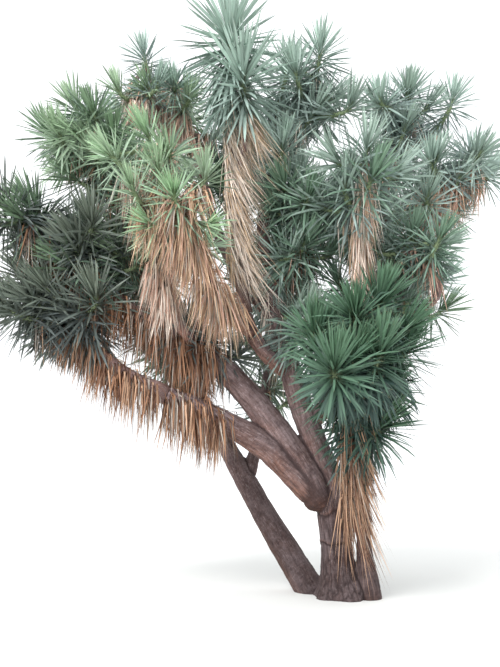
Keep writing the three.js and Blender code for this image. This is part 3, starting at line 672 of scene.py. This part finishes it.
# lead is the tip of a mass's main stem, and clothed is the share of that stem that dead leaves may cover.
# heads has the tip of each of its twigs: the bearing in degrees, the distance out and the height over lead,
# and where the twig has its own, the lean of its head. greens and straws name the colours of its leaves.
MASSES = {
    "tall_head": dict(on="tall_bough", lead=(-1.51, -1, 7.85), heads=[(322, 0.24, -0.74)], lean=0.1,
        fine=0, blade=0.84, leafed=(1.05, 0.6, 0.5), crowded=1.6, greens=["sky"], ageing=0.3, skirt=3,
        clothed=0.85, hang=0.8, hug=0.55, blown=0.5, straws=["pale", "pale", "straw"]),
    "front_low": dict(on="front_bough", lead=(-2.14, -2.05, 4.91),
        heads=[(160, 0.58, 0.18, 1.6), (128, 0.38, 0.48, 1.2), (58, 0.65, 0.54, 0.5)], lean=3, faces=268,
        fine=4, blade=0.46, leafed=(0.45, 0.28, 0.3), greens=["bright", "bright", "fresh"], skirt=7,
        fine_skirt=60, skirt_run=0.6, clothed=0.95, curtain=0.5, hang=0.68, hug=1.9,
        straws=["tan", "straw", "pink"]),
    "front_left": dict(on="front_left_bough", lead=(-2.64, -1.25, 6.15),
        heads=[(225, 0.56, -0.52), (310, 0.56, -0.52)], lean=1.0, fine=4, blade=0.48,
        leafed=(0.5, 0.4, 0.4), greens=["bright", "fresh"], skirt=3, twig_skirt=5, fine_skirt=45,
        clothed=0.6, curtain=0.5, hang=0.6, hug=1.4, straws=["pale", "pink"]),
    "left_shoulder": dict(on="shoulder_bough", lead=(-3.89, -0.35, 7.09),
        heads=[(199, 0.37, -0.48), (306, 0.87, -0.55)], forked=1, fine=11, fine_from=0.12, fine_below=0.85,
        far=1.2, on_limb=(5, 0.5, 0.95, 130, 240), blade=0.52, leafed=(0.8, 0.6, 0.6),
        greens=["fresh", "fresh", "middle"], skirt=1, clothed=0.5, hang=0.6, straws=["tan", "pink"]),
    "upper_left": dict(on="upper_left_bough", lead=(-2.96, 0.25, 8.36),
        heads=[(246, 0.67, -1), (349, 0.71, -0.73)], lean=0.15, forked=1, fine=10, fine_below=0.95,
        blade=0.46, leafed=(0.7, 0.3, 0.33), crowded=1.1, greens=["sky", "fresh"], skirt=3, twig_skirt=6,
        fine_skirt=60, clothed=0.7, hang=0.68, hug=1.2, straws=["pink", "pale"]),
    "long_bough_end": dict(on="long_bough", lead=(-4.38, -0.45, 5.39),
        heads=[(339, 0.73, -0.67), (238, 0.56, -0.06)], lean=0.9, forked=1, fine=11, fine_from=0.35,
        on_limb=(4, 0.66, 0.95, 60, 200), blade=0.64, greens=["shaded_deep", "shaded_deep", "middle"], skirt=2,
        twig_skirt=4, fine_skirt=24, clothed=0.95, curtain=0.76, hang=0.8,
        straws=["russet", "rust", "rust"]),
    "low_bough_end": dict(on="low_bough", lead=(-4.42, -0.3, 4.4),
        heads=[(335, 0.69, -0.49), (243, 0.39, -0.53), (70, 0.61, -0.7)], lean=1, forked=1, fine=9,
        fine_from=0.5, blade=0.64, leafed=(0.8, 0.9, 0.7), greens=["shaded_deep"], skirt=2, clothed=0.95,
        curtain=0.66, hang=0.68, straws=["russet", "rust", "tan"]),
    "top_right": dict(on="upright_bough", lead=(-0.07, 0.15, 8.38),
        heads=[(185, 0.54, -0.34), (321, 0.55, -1.15), (84, 0.65, -0.81)], lean=0.1,
        on_limb=(9, 0.55, 0.95, -60, 120), blade=0.57, leafed=(1.5, 1.0, 0.8), greens=["sky", "backlit_haze"],
        ageing=0.45, clothed=0.3, straws=["pale"]),
    "inner_centre": dict(on="centre_bough", lead=(-0.52, -0.35, 5.88),
        heads=[(200, 0.33, -0.56), (10, 0.47, -0.56)], lean=0.4, on_limb=(3, 0.4, 0.9, -60, 60),
        leafed=(1.0, 0.9, 0.8), greens=["backlit_haze", "blue"], ageing=0.6, skirt=1, clothed=0.8,
        straws=["russet", "pink"]),
    "right_front": dict(on="right_front_bough", lead=(0.37, -1.2, 5.96),
        heads=[(180, 0.33, -0.56), (29, 0.51, -0.3)], lean=0.3, fine=5, blade=0.6, leafed=(0.24, 0.5, 0.5),
        droop=0.9, greens=["backlit_haze", "blue"], ageing=0.6, skirt=2, clothed=0.95, hang=0.9, hug=0.3,
        straws=["pale", "straw", "pink"]),
    "right_shoulder": dict(on="right_bough", lead=(2.16, -0.15, 6.4),
        heads=[(209, 0.75, -0.25), (40, 0.53, -0.18)], fine=9, on_limb=(8, 0.3, 0.95, -90, 150), blade=0.5,
        leafed=(0.6, 0.35, 0.5), greens=["backlit_haze", "sky"], ageing=0.75, skirt=4, fine_skirt=24,
        skirt_run=0.5, clothed=0.8, hang=0.8, hug=1.5, blown=-0.35, straws=["pink", "tan"]),
    "right_low": dict(on="right_low_bough", lead=(1.04, -0.75, 4.93),
        heads=[(56, 0.43, -0.25), (155, 0.37, -0.22)], fine=6, blade=0.48, leafed=(0.6, 0.5, 0.4),
        greens=["backlit_haze", "blue"], ageing=0.7, fine_skirt=6, clothed=0.45, hang=0.6,
        straws=["pink"]),
    "right_upper": dict(on="right_upper_bough", lead=(1.4, 0.35, 7.78),
        heads=[(13, 0.77, -0.04), (223, 0.85, -0.56)], lean=0.2, on_limb=(4, 0.3, 0.95, -60, 120),
        blade=0.5, leafed=(1.3, 0.9, 0.8), greens=["sky", "backlit_haze"], ageing=0.7, clothed=0.3,
        straws=["pink"]),
    "low_front": dict(on="side_stem", lead=(0.47, -1.2, 3.85),
        heads=[(41, 0.52, -0.56), (254, 0.47, -0.77, 0.25), (223, 0.96, -0.99, 0.3), (183, 0.89, -0.47)],
        forked=1, fine=11, fine_from=0.36, blade=0.6, leafed=(1.9, 1.1, 0.8), crowded=1.6, droop=1.3,
        greens=["rich_in_shade"], ageing=1.3, skirt=5, twig_skirt=0.1, fine_skirt=0, clothed=0.85, hang=1.05,
        hug=0.7, drawn=-0.9, blown=0.4, straws=["tan", "tan", "russet"]),
    "back_low": dict(on="back_stem", lead=(-2.85, 2, 4.25), heads=[(100, 0.64, -0.38), (260, 0.64, -0.38)],
        lean=0.8, fine=6, blade=0.6, greens=["shaded_deep", "middle"], clothed=0.7, hang=0.8, straws=["russet"]),
    "back_left": dict(on="back_left_bough", lead=(-3.45, 1.25, 5.95),
        heads=[(180, 0.68, -0.45), (80, 0.68, -0.45), (350, 0.68, -0.45)], lean=0.6, fine=7,
        greens=["middle", "fresh"], clothed=0.5, hang=0.75),
    "back_top": dict(on="back_top_bough", lead=(-1.5, 1.5, 7.45),
        heads=[(180, 0.72, -0.42), (60, 0.72, -0.42), (300, 0.72, -0.42)], lean=0.2,
        on_limb=(3, 0.4, 0.9, 0, 180), blade=0.56, greens=["middle", "blue"], clothed=0.3),
    "back_centre": dict(on="back_centre_bough", lead=(-0.7, 2.25, 5.7),
        heads=[(160, 0.68, -0.5), (50, 0.68, -0.5)], lean=0.7, on_limb=(3, 0.4, 0.9, 0, 180),
        greens=["middle", "fresh"], clothed=0.6, hang=0.8),
    "back_right": dict(on="back_right_bough", lead=(0.85, 1.65, 6.5),
        heads=[(0, 0.68, -0.42), (110, 0.68, -0.42), (215, 0.68, -0.42)], on_limb=(3, 0.4, 0.9, 0, 180),
        blade=0.56, greens=["middle", "blue"], clothed=0.5, hang=0.75),
    "back_right_low": dict(on="back_low_bough", lead=(1.45, 1.45, 4.75),
        heads=[(350, 0.6, -0.42), (110, 0.6, -0.42)], lean=0.8, fine=6, on_limb=(2, 0.4, 0.9, 0, 180),
        greens=["shaded_deep", "middle"], clothed=0.6, hang=0.75, straws=["russet"]),
}
REGIONS = {
    "front": ["tall_head", "front_low", "front_left", "inner_centre"],
    "left": ["left_shoulder", "upper_left", "long_bough_end", "low_bough_end"],
    "right": ["top_right", "right_front", "right_shoulder", "right_low", "right_upper"],
    "low": ["low_front"],
    "back_left": ["back_low", "back_left", "back_top"],
    "back_right": ["back_centre", "back_right", "back_right_low"],
}
FORK_FROM, FORK_TO = 0.45, 0.75  # the shares of the main stem between which the twigs leave it
BEND = 0.38  # how far a stem holds its first and last headings, as a share of its reach
SCATTER = 0.04
FINE_TO = 0.88  # the share of the main stem up to which the finer twigs leave it
FINE_SPREAD = (0.30, 0.66)  # how far out a finer twig's head stands, and how far up
FINE_RISE = (0.15, 0.55)
FINE_LEAN = 0.5
FORKED_AT = 0.45  # the share of a twig at which its own finer twig leaves it
FORKED_TURN = 65.0  # how far aside that one turns
GOLDEN_TURN = 137.5  # degrees from one finer twig, or one leaf, to the next round the stem
TWIG_GIRTH, FINE_GIRTH, TIP_GIRTH = 0.050, 0.040, 0.024
STEM_SIDES = 8
STEM_STATIONS = 18
UP = np.array([0.0, 0.0, 1.0])


def seeded(seed):
    """The repeatable run of numbers from 0 to 1 that the solids grow by."""
    state = seed
    while True:
        state = (state * 1664525 + 1013904223) % 4294967296
        yield state / 4294967296


def bearing_way(bearing):
    angle = math.radians(bearing)
    return np.array([math.cos(angle), math.sin(angle), 0.0])


def head_axis(tip, lean, faces):
    """The way that a head looks: up, and outwards or to the bearing that it faces."""
    if faces is not None:
        return unit(bearing_way(faces) * lean + UP)
    out = unit(np.array([tip[0] - CROWN_CENTRE[0], tip[1] - CROWN_CENTRE[1], 0.0]))
    return unit(out * lean + UP)


def stem_curve(foot, heading, tip, axis):
    reach = np.linalg.norm(foot - tip) * BEND
    return [foot, foot + heading * reach, tip - axis * reach, tip]


def way_at(curve, share):
    near = bezier(curve, [max(0.0, share - 0.002), min(1.0, share + 0.002)])
    return unit(near[1] - near[0])


class Stem(Course):
    """A stem of the crown. Its rank is 0 for the main stem of a mass, 1 for a twig and 2 for a finer twig."""

    def __init__(self, curve, girth, rank):
        shares = np.linspace(0.0, 1.0, STEM_STATIONS)
        super().__init__(bezier(curve, shares), girth + (TIP_GIRTH - girth) * shares)
        self.rank = rank

    def down(self, distances):
        """What at() gives, for distances down from the tip."""
        return self.at(np.clip(self.length - distances, 0.0, self.length))


def fine_stem(curve, at, bearing, mass, random):
    """A finer twig from a share of a stem or limb to a small head."""
    out = bearing_way(bearing)
    foot = bezier(curve, [at])[0]
    spread = (FINE_SPREAD[0] + (FINE_SPREAD[1] - FINE_SPREAD[0]) * next(random)) * mass["far"]
    rise = FINE_RISE[0] + (FINE_RISE[1] - FINE_RISE[0]) * next(random)
    tip = foot + out * spread + UP * rise
    tip[2] = min(tip[2], mass["lead"][2] - mass["fine_below"])
    axis = unit(head_axis(tip, mass["lean"], mass["faces"]) + FINE_LEAN * out)
    return Stem(stem_curve(foot, unit(way_at(curve, at) + out), tip, axis), FINE_GIRTH, 2)


def stems_of(mass, seed):
    """The main stem, a twig to each head, and finer twigs from them and from the end of the limb."""
    random = seeded(seed)
    limb_curve = curves[mass["on"]]
    lead = np.array(mass["lead"])
    axis = head_axis(lead, mass["lean"], mass["faces"])
    main = stem_curve(np.asarray(limb_curve[-1]), way_at(limb_curve, 1.0), lead, axis)
    stems = [Stem(main, tip_girths[mass["on"]], 0)]
    for i, (bearing, away, higher, *own_lean) in enumerate(mass["heads"]):
        at = FORK_FROM + (FORK_TO - FORK_FROM) * (i / max(1, len(mass["heads"]) - 1))
        spread = away * (1 + SCATTER * (2 * next(random) - 1))
        rise = higher * (1 + SCATTER * (2 * next(random) - 1))
        tip = lead + bearing_way(bearing) * spread + UP * rise
        axis = head_axis(tip, (own_lean or [mass["lean"]])[0], mass["faces"])
        twig = stem_curve(bezier(main, [at])[0], unit(way_at(main, at) + bearing_way(bearing)), tip, axis)
        stems.append(Stem(twig, TWIG_GIRTH, 1))
        for side in range(mass["forked"]):
            aside = FORKED_TURN * (-1) ** (i + side)
            stems.append(fine_stem(twig, FORKED_AT, bearing + aside, mass, random))
    start = 360 * next(random)
    for i in range(mass["fine"]):
        at = mass["fine_from"] + (FINE_TO - mass["fine_from"]) * (i + 0.5) / mass["fine"]
        stems.append(fine_stem(main, at, start + GOLDEN_TURN * i, mass, random))
    count, low, high, first, last = mass["on_limb"]
    for i in range(count):
        at = low + (high - low) * (i + 0.5) / count
        bearing = first + (last - first) * ((i * GOLDEN_TURN / 360) % 1.0)
        stems.append(fine_stem(limb_curve, at, bearing, mass, random))
    return stems


growth = {}  # each mass with its stems
for seed, (name, own) in enumerate(MASSES.items(), start=1):
    mass = {**USUAL_MASS, **own}
    growth[name] = (mass, stems_of(mass, seed))


def tube_faces(rings, sides):
    """The faces of a tube: quads between its rings of corners, a fan to its pointed tip, and its foot."""
    corner = np.arange(sides)
    after = (corner + 1) % sides
    start = np.arange(rings - 1)[:, None] * sides
    low, turned = start + corner, start + after
    quads = np.stack([low, turned, turned + sides, low + sides], axis=-1).reshape(-1, 4)
    last = (rings - 1) * sides
    fan = np.stack([corner + last, after + last, np.full(sides, last + sides)], axis=1)
    return [quads, fan, corner[::-1].reshape(1, -1)]


def joined_mesh(name, shapes, rings, sides, values):
    """One mesh of many tubes from the corners of each, with what is kept at each corner."""
    count, size = shapes.shape[:2]
    start = (np.arange(count) * size)[:, None, None]
    faces = [(group[None] + start).reshape(-1, group.shape[1]) for group in tube_faces(rings, sides)]
    sizes = np.concatenate([np.full(len(group), group.shape[1]) for group in faces])
    corners = np.concatenate([group.ravel() for group in faces])
    mesh = bpy.data.meshes.new(name)
    mesh.vertices.add(count * size)
    mesh.loops.add(len(corners))
    mesh.polygons.add(len(sizes))
    mesh.vertices.foreach_set("co", shapes.astype(np.float32).ravel())
    mesh.loops.foreach_set("vertex_index", corners.astype(np.int32))
    mesh.polygons.foreach_set("loop_start", np.concatenate([[0], np.cumsum(sizes)[:-1]]).astype(np.int32))
    mesh.update(calc_edges=True)
    mesh.validate()
    mesh.shade_smooth()
    for attribute, (kind, rows) in values.items():
        add_values(mesh, attribute, kind, rows)
    return mesh


BUD_LENGTH = 0.07
KNUCKLES = [(0.10, 46.0, 0.0), (0.05, 19.0, 1.0)]  # height, how close they follow, how they differ by stem
KNUCKLES_FROM = 0.1  # below this a stem's foot is smooth
STEM_RINGS = (1.5, 1.5, 24.0)
STEM_WARMTH = 0.25
FADE = 0.1  # the length over which the leaf bases on a stem give way to bark


def stem_arrays(stem, order):
    """The corners of a round stem with a pointed bud, and their grain."""
    across, beyond = sides_of(stem.ways)
    turn = np.arange(STEM_SIDES) * 2 * math.pi / STEM_SIDES
    ring = across[:, None, :] * np.cos(turn)[None, :, None] + beyond[:, None, :] * np.sin(turn)[None, :, None]
    knuckles = 1.0 + sum(height * np.sin(stem.along * pace + order * own) for height, pace, own in KNUCKLES)
    radii = stem.radii * np.where(stem.along > KNUCKLES_FROM, knuckles, 1.0)
    points = (stem.points[:, None, :] + ring * radii[:, None, None]).reshape(-1, 3)
    grain = np.stack([
        (np.cos(turn)[None, :] * radii[:, None]).ravel() + order,
        (np.sin(turn)[None, :] * radii[:, None]).ravel(),
        np.repeat(stem.along, STEM_SIDES),
    ], axis=1)
    bud = stem.points[-1] + stem.ways[-1] * BUD_LENGTH
    return np.concatenate([points, [bud]]), np.concatenate([grain, [[order, 0.0, stem.length]]])


def make_stems(region, names):
    """Every stem of a region, in one piece."""
    stems = [(mass, stem) for mass, grown in (growth[name] for name in names) for stem in grown]
    rows = [stem_arrays(stem, order) for order, (_, stem) in enumerate(stems)]
    shapes, grain = (np.stack(group) for group in zip(*rows))
    bare = np.array([stem.length - mass["leafed"][stem.rank] for mass, stem in stems])
    leafy = (grain[:, :, 2] - bare[:, None]) / FADE + 1
    rings = valley(noise_at(grain.reshape(-1, 3) * STEM_RINGS), RING_WIDTH)
    values = {
        "grain": ("FLOAT_VECTOR", grain),
        "dark_marks_and_recess_shade": ("FLOAT", 0.5 * rings),
        "warm_tone_and_bounce_light": ("FLOAT", np.full(len(rings), STEM_WARMTH)),
        "leafy": ("FLOAT", np.clip(leafy, 0.0, 1.0)),
    }
    mesh = joined_mesh(f"stems_{region}", shapes, STEM_STATIONS, STEM_SIDES, values)
    finished(mesh, bark_finish, [f"foliage_{name}" for name in names])


for region, names in REGIONS.items():
    make_stems(region, names)

# The living leaves: tough sword leaves, channelled along the middle, widest before half way and drawn out to
# a soft point. They leave the stem's tip in a close spiral, the youngest upright and the oldest hanging.
LEAF_SEED = 100
LEAVES_A_METRE = 180  # of leafed stem
BUD_LEAVES = 12  # more of them at the tip
MOST_LEAFED = 0.9  # of a short stem's length
LEAF_WIDTH = 0.054  # of its length
LEAF_FOLD = math.radians(15.0)
LEAF_SINK = 0.8  # of the stem's radius
AGE_EASE = 1.4
FIRST_ANGLE, LAST_ANGLE = 3.0, 152.0  # degrees from the stem, for the youngest leaf and the oldest
ANGLE_REACH = 0.31  # how far down the stem most of that turn is made
ANGLE_EASE = 1.35
ANGLE_SPREAD = 5.0
STIFF_PULL = 0.03  # how far even the youngest leaf bends
LEAF_SIDE = (0.3, 1.0, 0.1)
LEAF_SHARES = np.array([0.0, 0.38, 0.74, 1.0])
LEAF_WIDTHS = np.array([0.55, 1.0, 0.82, 0.0])
GREENS = {
    "bright": painted(156, 182, 154),
    "fresh": painted(160, 180, 158),
    "middle": painted(118, 140, 118),
    # partly the heads' own deep green, partly painted shade: darker for the low heads in front, which stand
    # in shade
    "rich_in_shade": painted(94, 124, 104),
    "blue": painted(114, 138, 124),
    # painted light: these two pale blue-greens stand in for the haze of backlight over the upper heads
    "backlit_haze": painted(148, 164, 161),
    "sky": painted(158, 175, 173),
    # painted shade: a dark grey-green for the heads of the leaning limbs, which hang in the crown's shade
    "shaded_deep": painted(118, 126, 120),
}
YOUNG_TINT = np.array([1.24, 1.28, 1.12, 1.0])
OLD_TINT = np.array([0.62, 0.65, 0.70, 1.0])
FULLY_OLD = 0.4  # how far down the stem the leaves are as dark as they get
LEAF_TIP = painted(150, 128, 84)
LEAF_FOOT = painted(176, 184, 150)
LEAF_STREAKS = ((9.0, 1.6, 70.0), 3.0, 0.55)
LEAF_SHINE = 0.45
LEAF_DEPTH = 0.0012
BEYOND_SOLIDS = 0.12  # a leaf that would reach further out than this is left off
OFF_THE_GROUND = 0.004


def make_leaf_finish():
    leaf = Finish("sword_leaf", LEAF_SHINE)
    spray = leaf.attribute("spray", "Color")
    lie = leaf.attribute("lie", "Vector")
    across, along, tint = leaf.parts(lie)
    streaks = leaf.noise(lie, *LEAF_STREAKS)
    rib = 1 - abs(across).between(0.0, 0.22)
    colour = leaf.shaded(spray, 0.5 + 0.88 * tint + 0.34 * (streaks - 0.5))
    colour = leaf.mixed(colour, leaf.shaded(spray, 1.5), rib * 0.45)
    colour = leaf.mixed(LEAF_FOOT, colour, along.between(0.0, 0.16) * 0.55 + 0.45)
    colour = leaf.mixed(colour, LEAF_TIP, along.between(0.93, 1.0) * 0.8)
    leaf.surface(colour, 0.38 + 0.2 * streaks, streaks, LEAF_DEPTH)
    return leaf.material


leaf_finish = make_leaf_finish()


def bent_lines(roots, ways, lengths, shares, pull):
    """Middle lines that set out along their ways and are pulled down more and more along their length."""
    lines = [roots]
    ways_there = [unit(ways)]
    for low, high in zip(shares, shares[1:]):
        way = unit(ways - UP * (pull * (low + high) / 2)[:, None])
        lines.append(lines[-1] + way * (lengths * (high - low))[:, None])
        ways_there.append(unit(ways - UP * (pull * high)[:, None]))
    return np.stack(lines, axis=1), np.stack(ways_there, axis=1)


def blades(lines, ways, faces_up, widths, shares_wide, fold):
    """Closed folded blades on their middle lines: two edges and a keel at each station, and a pointed tip."""
    sides = unit(np.cross(ways, faces_up[:, None, :]))
    normals = np.cross(sides, ways)
    half = (widths[:, None] * shares_wide[None, :] / 2)[..., None]
    edges_and_keel = [lines - sides * half, lines + sides * half, lines - normals * half * math.tan(fold)]
    stations = np.stack(edges_and_keel, axis=2)[:, :-1]
    count, rings = stations.shape[:2]
    return np.concatenate([stations.reshape(count, rings * 3, 3), lines[:, -1:]], axis=1)


def lie_on_blades(shares, tints):
    """For each corner of each blade, how far across it and along it that lies, and the blade's own tint."""
    lie = np.zeros((len(tints), 3 * (len(shares) - 1) + 1, 3))
    lie[:, :-1, 0] = np.tile([-1.0, 1.0, 0.0], len(shares) - 1)
    lie[:, :-1, 1] = np.repeat(shares[:-1], 3)
    lie[:, -1, 1] = 1.0
    lie[:, :, 2] = tints[:, None]
    return lie


def leaves_of(stem, mass, random, green):
    """The leaves of one head: the corners of the blades, where those lie on them, and the blades' colours."""
    leafed = min(mass["leafed"][stem.rank], MOST_LEAFED * stem.length)
    count = int((LEAVES_A_METRE * leafed + BUD_LEAVES) * mass["crowded"])
    age = (np.arange(count) / (count - 1)) ** AGE_EASE
    down = 0.01 + leafed * age
    angle = FIRST_ANGLE + (LAST_ANGLE - FIRST_ANGLE) * (1 - np.exp(-((down / ANGLE_REACH) ** ANGLE_EASE)))
    angle = np.radians(angle + random.normal(0.0, ANGLE_SPREAD, count))
    turn = random.uniform(0.0, 2 * math.pi) + math.radians(GOLDEN_TURN) * np.arange(count)
    roots, stem_ways, radii = stem.down(down)
    across, beyond = sides_of(stem_ways, LEAF_SIDE)
    out = across * np.cos(turn)[:, None] + beyond * np.sin(turn)[:, None]
    ways = stem_ways * np.cos(angle)[:, None] + out * np.sin(angle)[:, None]
    roots = roots + out * radii[:, None] * LEAF_SINK
    lengths = mass["blade"] * random.uniform(0.84, 1.1, count) * np.minimum(1.0, 0.74 + down * 2.4)
    pull = (STIFF_PULL + mass["droop"] * age) * random.uniform(0.4, 1.6, count)
    lines, ways_there = bent_lines(roots, ways, lengths, LEAF_SHARES, pull)
    facing = unit(stem_ways + 0.25 * random.normal(0.0, 1.0, (count, 3)))
    widths = lengths * LEAF_WIDTH * random.uniform(0.85, 1.15, count)
    corners = blades(lines, ways_there, facing, widths, LEAF_WIDTHS, LEAF_FOLD)
    lie = lie_on_blades(LEAF_SHARES, np.clip(random.normal(0.5, 0.23, count), 0.0, 1.0))
    oldest = YOUNG_TINT + (OLD_TINT - YOUNG_TINT) * mass["ageing"]
    by_age = YOUNG_TINT + (oldest - YOUNG_TINT) * np.clip(down / FULLY_OLD, 0.0, 1.0)[:, None]
    return corners, lie, np.array(GREENS[green]) * by_age


def crease_edges(mesh, size):
    """Mark the two edges of each blade, which has this many corners, as sharp."""
    ends = np.empty(len(mesh.edges) * 2, dtype=np.int32)
    mesh.edges.foreach_get("vertices", ends)
    corner = ends.reshape(-1, 2) % size
    sharp = np.zeros(len(corner), dtype=bool)
    for line in (0, 1):
        sharp |= ((corner % 3 == line) | (corner == size - 1)).all(axis=1)
    mesh.attributes.new("sharp_edge", "BOOLEAN", "EDGE").data.foreach_set("value", sharp)


def make_blades(kind, region, names, grown, shares, finish):
    """Join all the blades of a region that stay within the tree's reach to one piece."""
    corners, lie, colours = (np.concatenate(rows) for rows in zip(*grown))
    low, high = (np.array(corner) for corner in solids_box)
    inside = ((corners > low - BEYOND_SOLIDS) & (corners < high + BEYOND_SOLIDS)).all(axis=(1, 2))
    inside &= corners[..., 2].min(axis=1) > OFF_THE_GROUND
    size = corners.shape[1]
    values = {
        "lie": ("FLOAT_VECTOR", lie[inside]),
        "spray": ("FLOAT_COLOR", np.repeat(colours[inside], size, axis=0)),
    }
    mesh = joined_mesh(f"{kind}_{region}", corners[inside], len(shares) - 1, 3, values)
    crease_edges(mesh, size)
    finished(mesh, finish, [f"foliage_{name}" for name in names])


for order, (region, names) in enumerate(REGIONS.items()):
    random = np.random.default_rng(LEAF_SEED + order)
    grown = []
    for mass, stems in (growth[name] for name in names):
        for stem in stems:
            green = mass["greens"][random.integers(len(mass["greens"]))]
            grown.append(leaves_of(stem, mass, random, green))
    make_blades("leaves", region, names, grown, LEAF_SHARES, leaf_finish)

# The dead leaves: dry, narrow and folded, straw to rust, still fast on the stem. They hang close together as
# a skirt under the head and down the clothed stretch of the stem, and as curtains from the leaning limbs.
STRAND_SEED = 200
STRANDS_A_METRE = 400  # of a stem, under its head
CURTAIN_STRANDS_A_METRE = 700  # of a leaning limb
HANK_STRANDS = 34
ODD_STRANDS = 12  # under a head with no hank too
UNDER_GREEN = 0.9  # the share of the leafed length at which they begin
STRAND_WIDTH = (0.014, 0.028)
STRAND_LENGTH = (0.4, 1.15)  # over the length that the mass gives
STRAND_PULL = (6.0, 12.0)
STRAND_SINK = 0.9  # of the stem's radius
STRAND_SHARES = np.array([0.0, 0.24, 1.0])
STRAND_WIDTHS = np.array([0.8, 1.0, 0.0])
STRAND_FOLD = math.radians(32.0)
SWAY = 0.08
SWAY_EASE = 1.5
LOWEST_STRAND = 0.01
STRAWS = {
    "straw": painted(220, 192, 162),
    "tan": painted(188, 153, 127),
    "russet": painted(112, 82, 68),
    "rust": painted(164, 124, 98),
    "grey": painted(178, 168, 158),
    "pale": painted(242, 226, 212),
    "pink": painted(212, 174, 155),
}
GREY_SHARE = 0.14  # of the strands of every mass
STRAND_DARK = painted(96, 68, 50)
STRAND_STREAKS = ((6.0, 2.2, 90.0), 4.0, 0.65)
STRAND_SHINE = 0.2
STRAND_DEPTH = 0.002


def make_strand_finish():
    strand = Finish("dead_leaf", STRAND_SHINE)
    spray = strand.attribute("spray", "Color")
    lie = strand.attribute("lie", "Vector")
    along, tint = strand.parts(lie)[1:]
    streaks = strand.noise(lie, *STRAND_STREAKS)
    colour = strand.shaded(spray, 0.62 + 0.85 * tint + 0.4 * (streaks - 0.5))
    colour = strand.mixed(colour, STRAND_DARK, streaks.between(0.55, 0.8) * 0.45)
    colour = strand.mixed(STRAND_DARK, colour, along.between(-0.1, 0.25))
    strand.surface(colour, 0.72 + 0.2 * streaks, streaks, STRAND_DEPTH)
    return strand.material


strand_finish = make_strand_finish()


def dead_roots(stem, mass, random):
    """Where a stem's dead leaves are fast: under the green ones, and far down from them on a main stem."""
    green = min(mass["leafed"][stem.rank], MOST_LEAFED * stem.length) * UNDER_GREEN
    clothed = stem.length * mass["clothed"] if stem.rank == 0 else 0.0
    run = max(0.0, clothed - green)
    hanks = (mass["skirt"], mass.get("twig_skirt", mass["skirt"]), 0)[stem.rank]
    skirt = mass["fine_skirt"] if stem.rank == 2 else int(hanks * HANK_STRANDS) + ODD_STRANDS
    return stem.down(np.concatenate([
        green + random.uniform(0.0, mass["skirt_run"], skirt),
        green + random.uniform(0.0, 1.0, int(run * STRANDS_A_METRE)) * run,
    ]))


def curtain_roots(limb, low, random):
    """Where the dead leaves of a limb's end stretch are fast."""
    count = int((1.0 - low) * limb.length * CURTAIN_STRANDS_A_METRE)
    return limb.at(limb.length * random.uniform(low, 1.0, count))


def strands_of(roots, ways, radii, mass, random):
    """Dead leaves from these roots: the corners of the blades, where those lie on them, and their colours."""
    count = len(roots)
    turn = random.uniform(0.0, 2 * math.pi, count)
    across, beyond = sides_of(ways)
    out = across * np.cos(turn)[:, None] + beyond * np.sin(turn)[:, None]
    roots = roots + out * (radii * STRAND_SINK)[:, None]
    start_ways = out * (mass["hug"] * random.uniform(0.5, 1.1, count))[:, None]
    start_ways += ways * random.uniform(-0.3, 0.3, count)[:, None]
    start_ways[:, 0] += mass["drawn"]
    lengths = mass["hang"] * random.uniform(*STRAND_LENGTH, count)
    pull = random.uniform(*STRAND_PULL, count)
    lines, ways_there = bent_lines(roots, start_ways, lengths, STRAND_SHARES, pull)
    sway = random.normal(0.0, SWAY, (count, 3)) * (1.0, 1.0, 0.0)
    sway[:, 0] += mass["blown"] * random.uniform(0.3, 1.2, count)
    bulge = STRAND_SHARES[None, :, None] ** SWAY_EASE
    lines = lines + sway[:, None, :] * bulge * lengths[:, None, None]
    facing = unit(out + 0.7 * random.normal(0.0, 1.0, (count, 3)))
    widths = random.uniform(*STRAND_WIDTH, count)
    corners = blades(lines, ways_there, facing, widths, STRAND_WIDTHS, STRAND_FOLD)
    corners[..., 2] = np.maximum(corners[..., 2], LOWEST_STRAND)
    lie = lie_on_blades(STRAND_SHARES, np.clip(random.normal(0.48, 0.28, count), 0.0, 1.0))
    palette = np.array([STRAWS[name] for name in mass["straws"] + ["grey"]])
    chances = [(1.0 - GREY_SHARE) / len(mass["straws"])] * len(mass["straws"]) + [GREY_SHARE]
    return corners, lie, palette[random.choice(len(palette), count, p=chances)]


for order, (region, names) in enumerate(REGIONS.items()):
    random = np.random.default_rng(STRAND_SEED + order)
    grown = []
    for mass, stems in (growth[name] for name in names):
        for stem in stems:
            grown.append(strands_of(*dead_roots(stem, mass, random), mass, random))
        if mass["curtain"]:
            limb = courses[mass["on"]]
            grown.append(strands_of(*curtain_roots(limb, mass["curtain"], random), mass, random))
    make_blades("dead_leaves", region, names, grown, STRAND_SHARES, strand_finish)
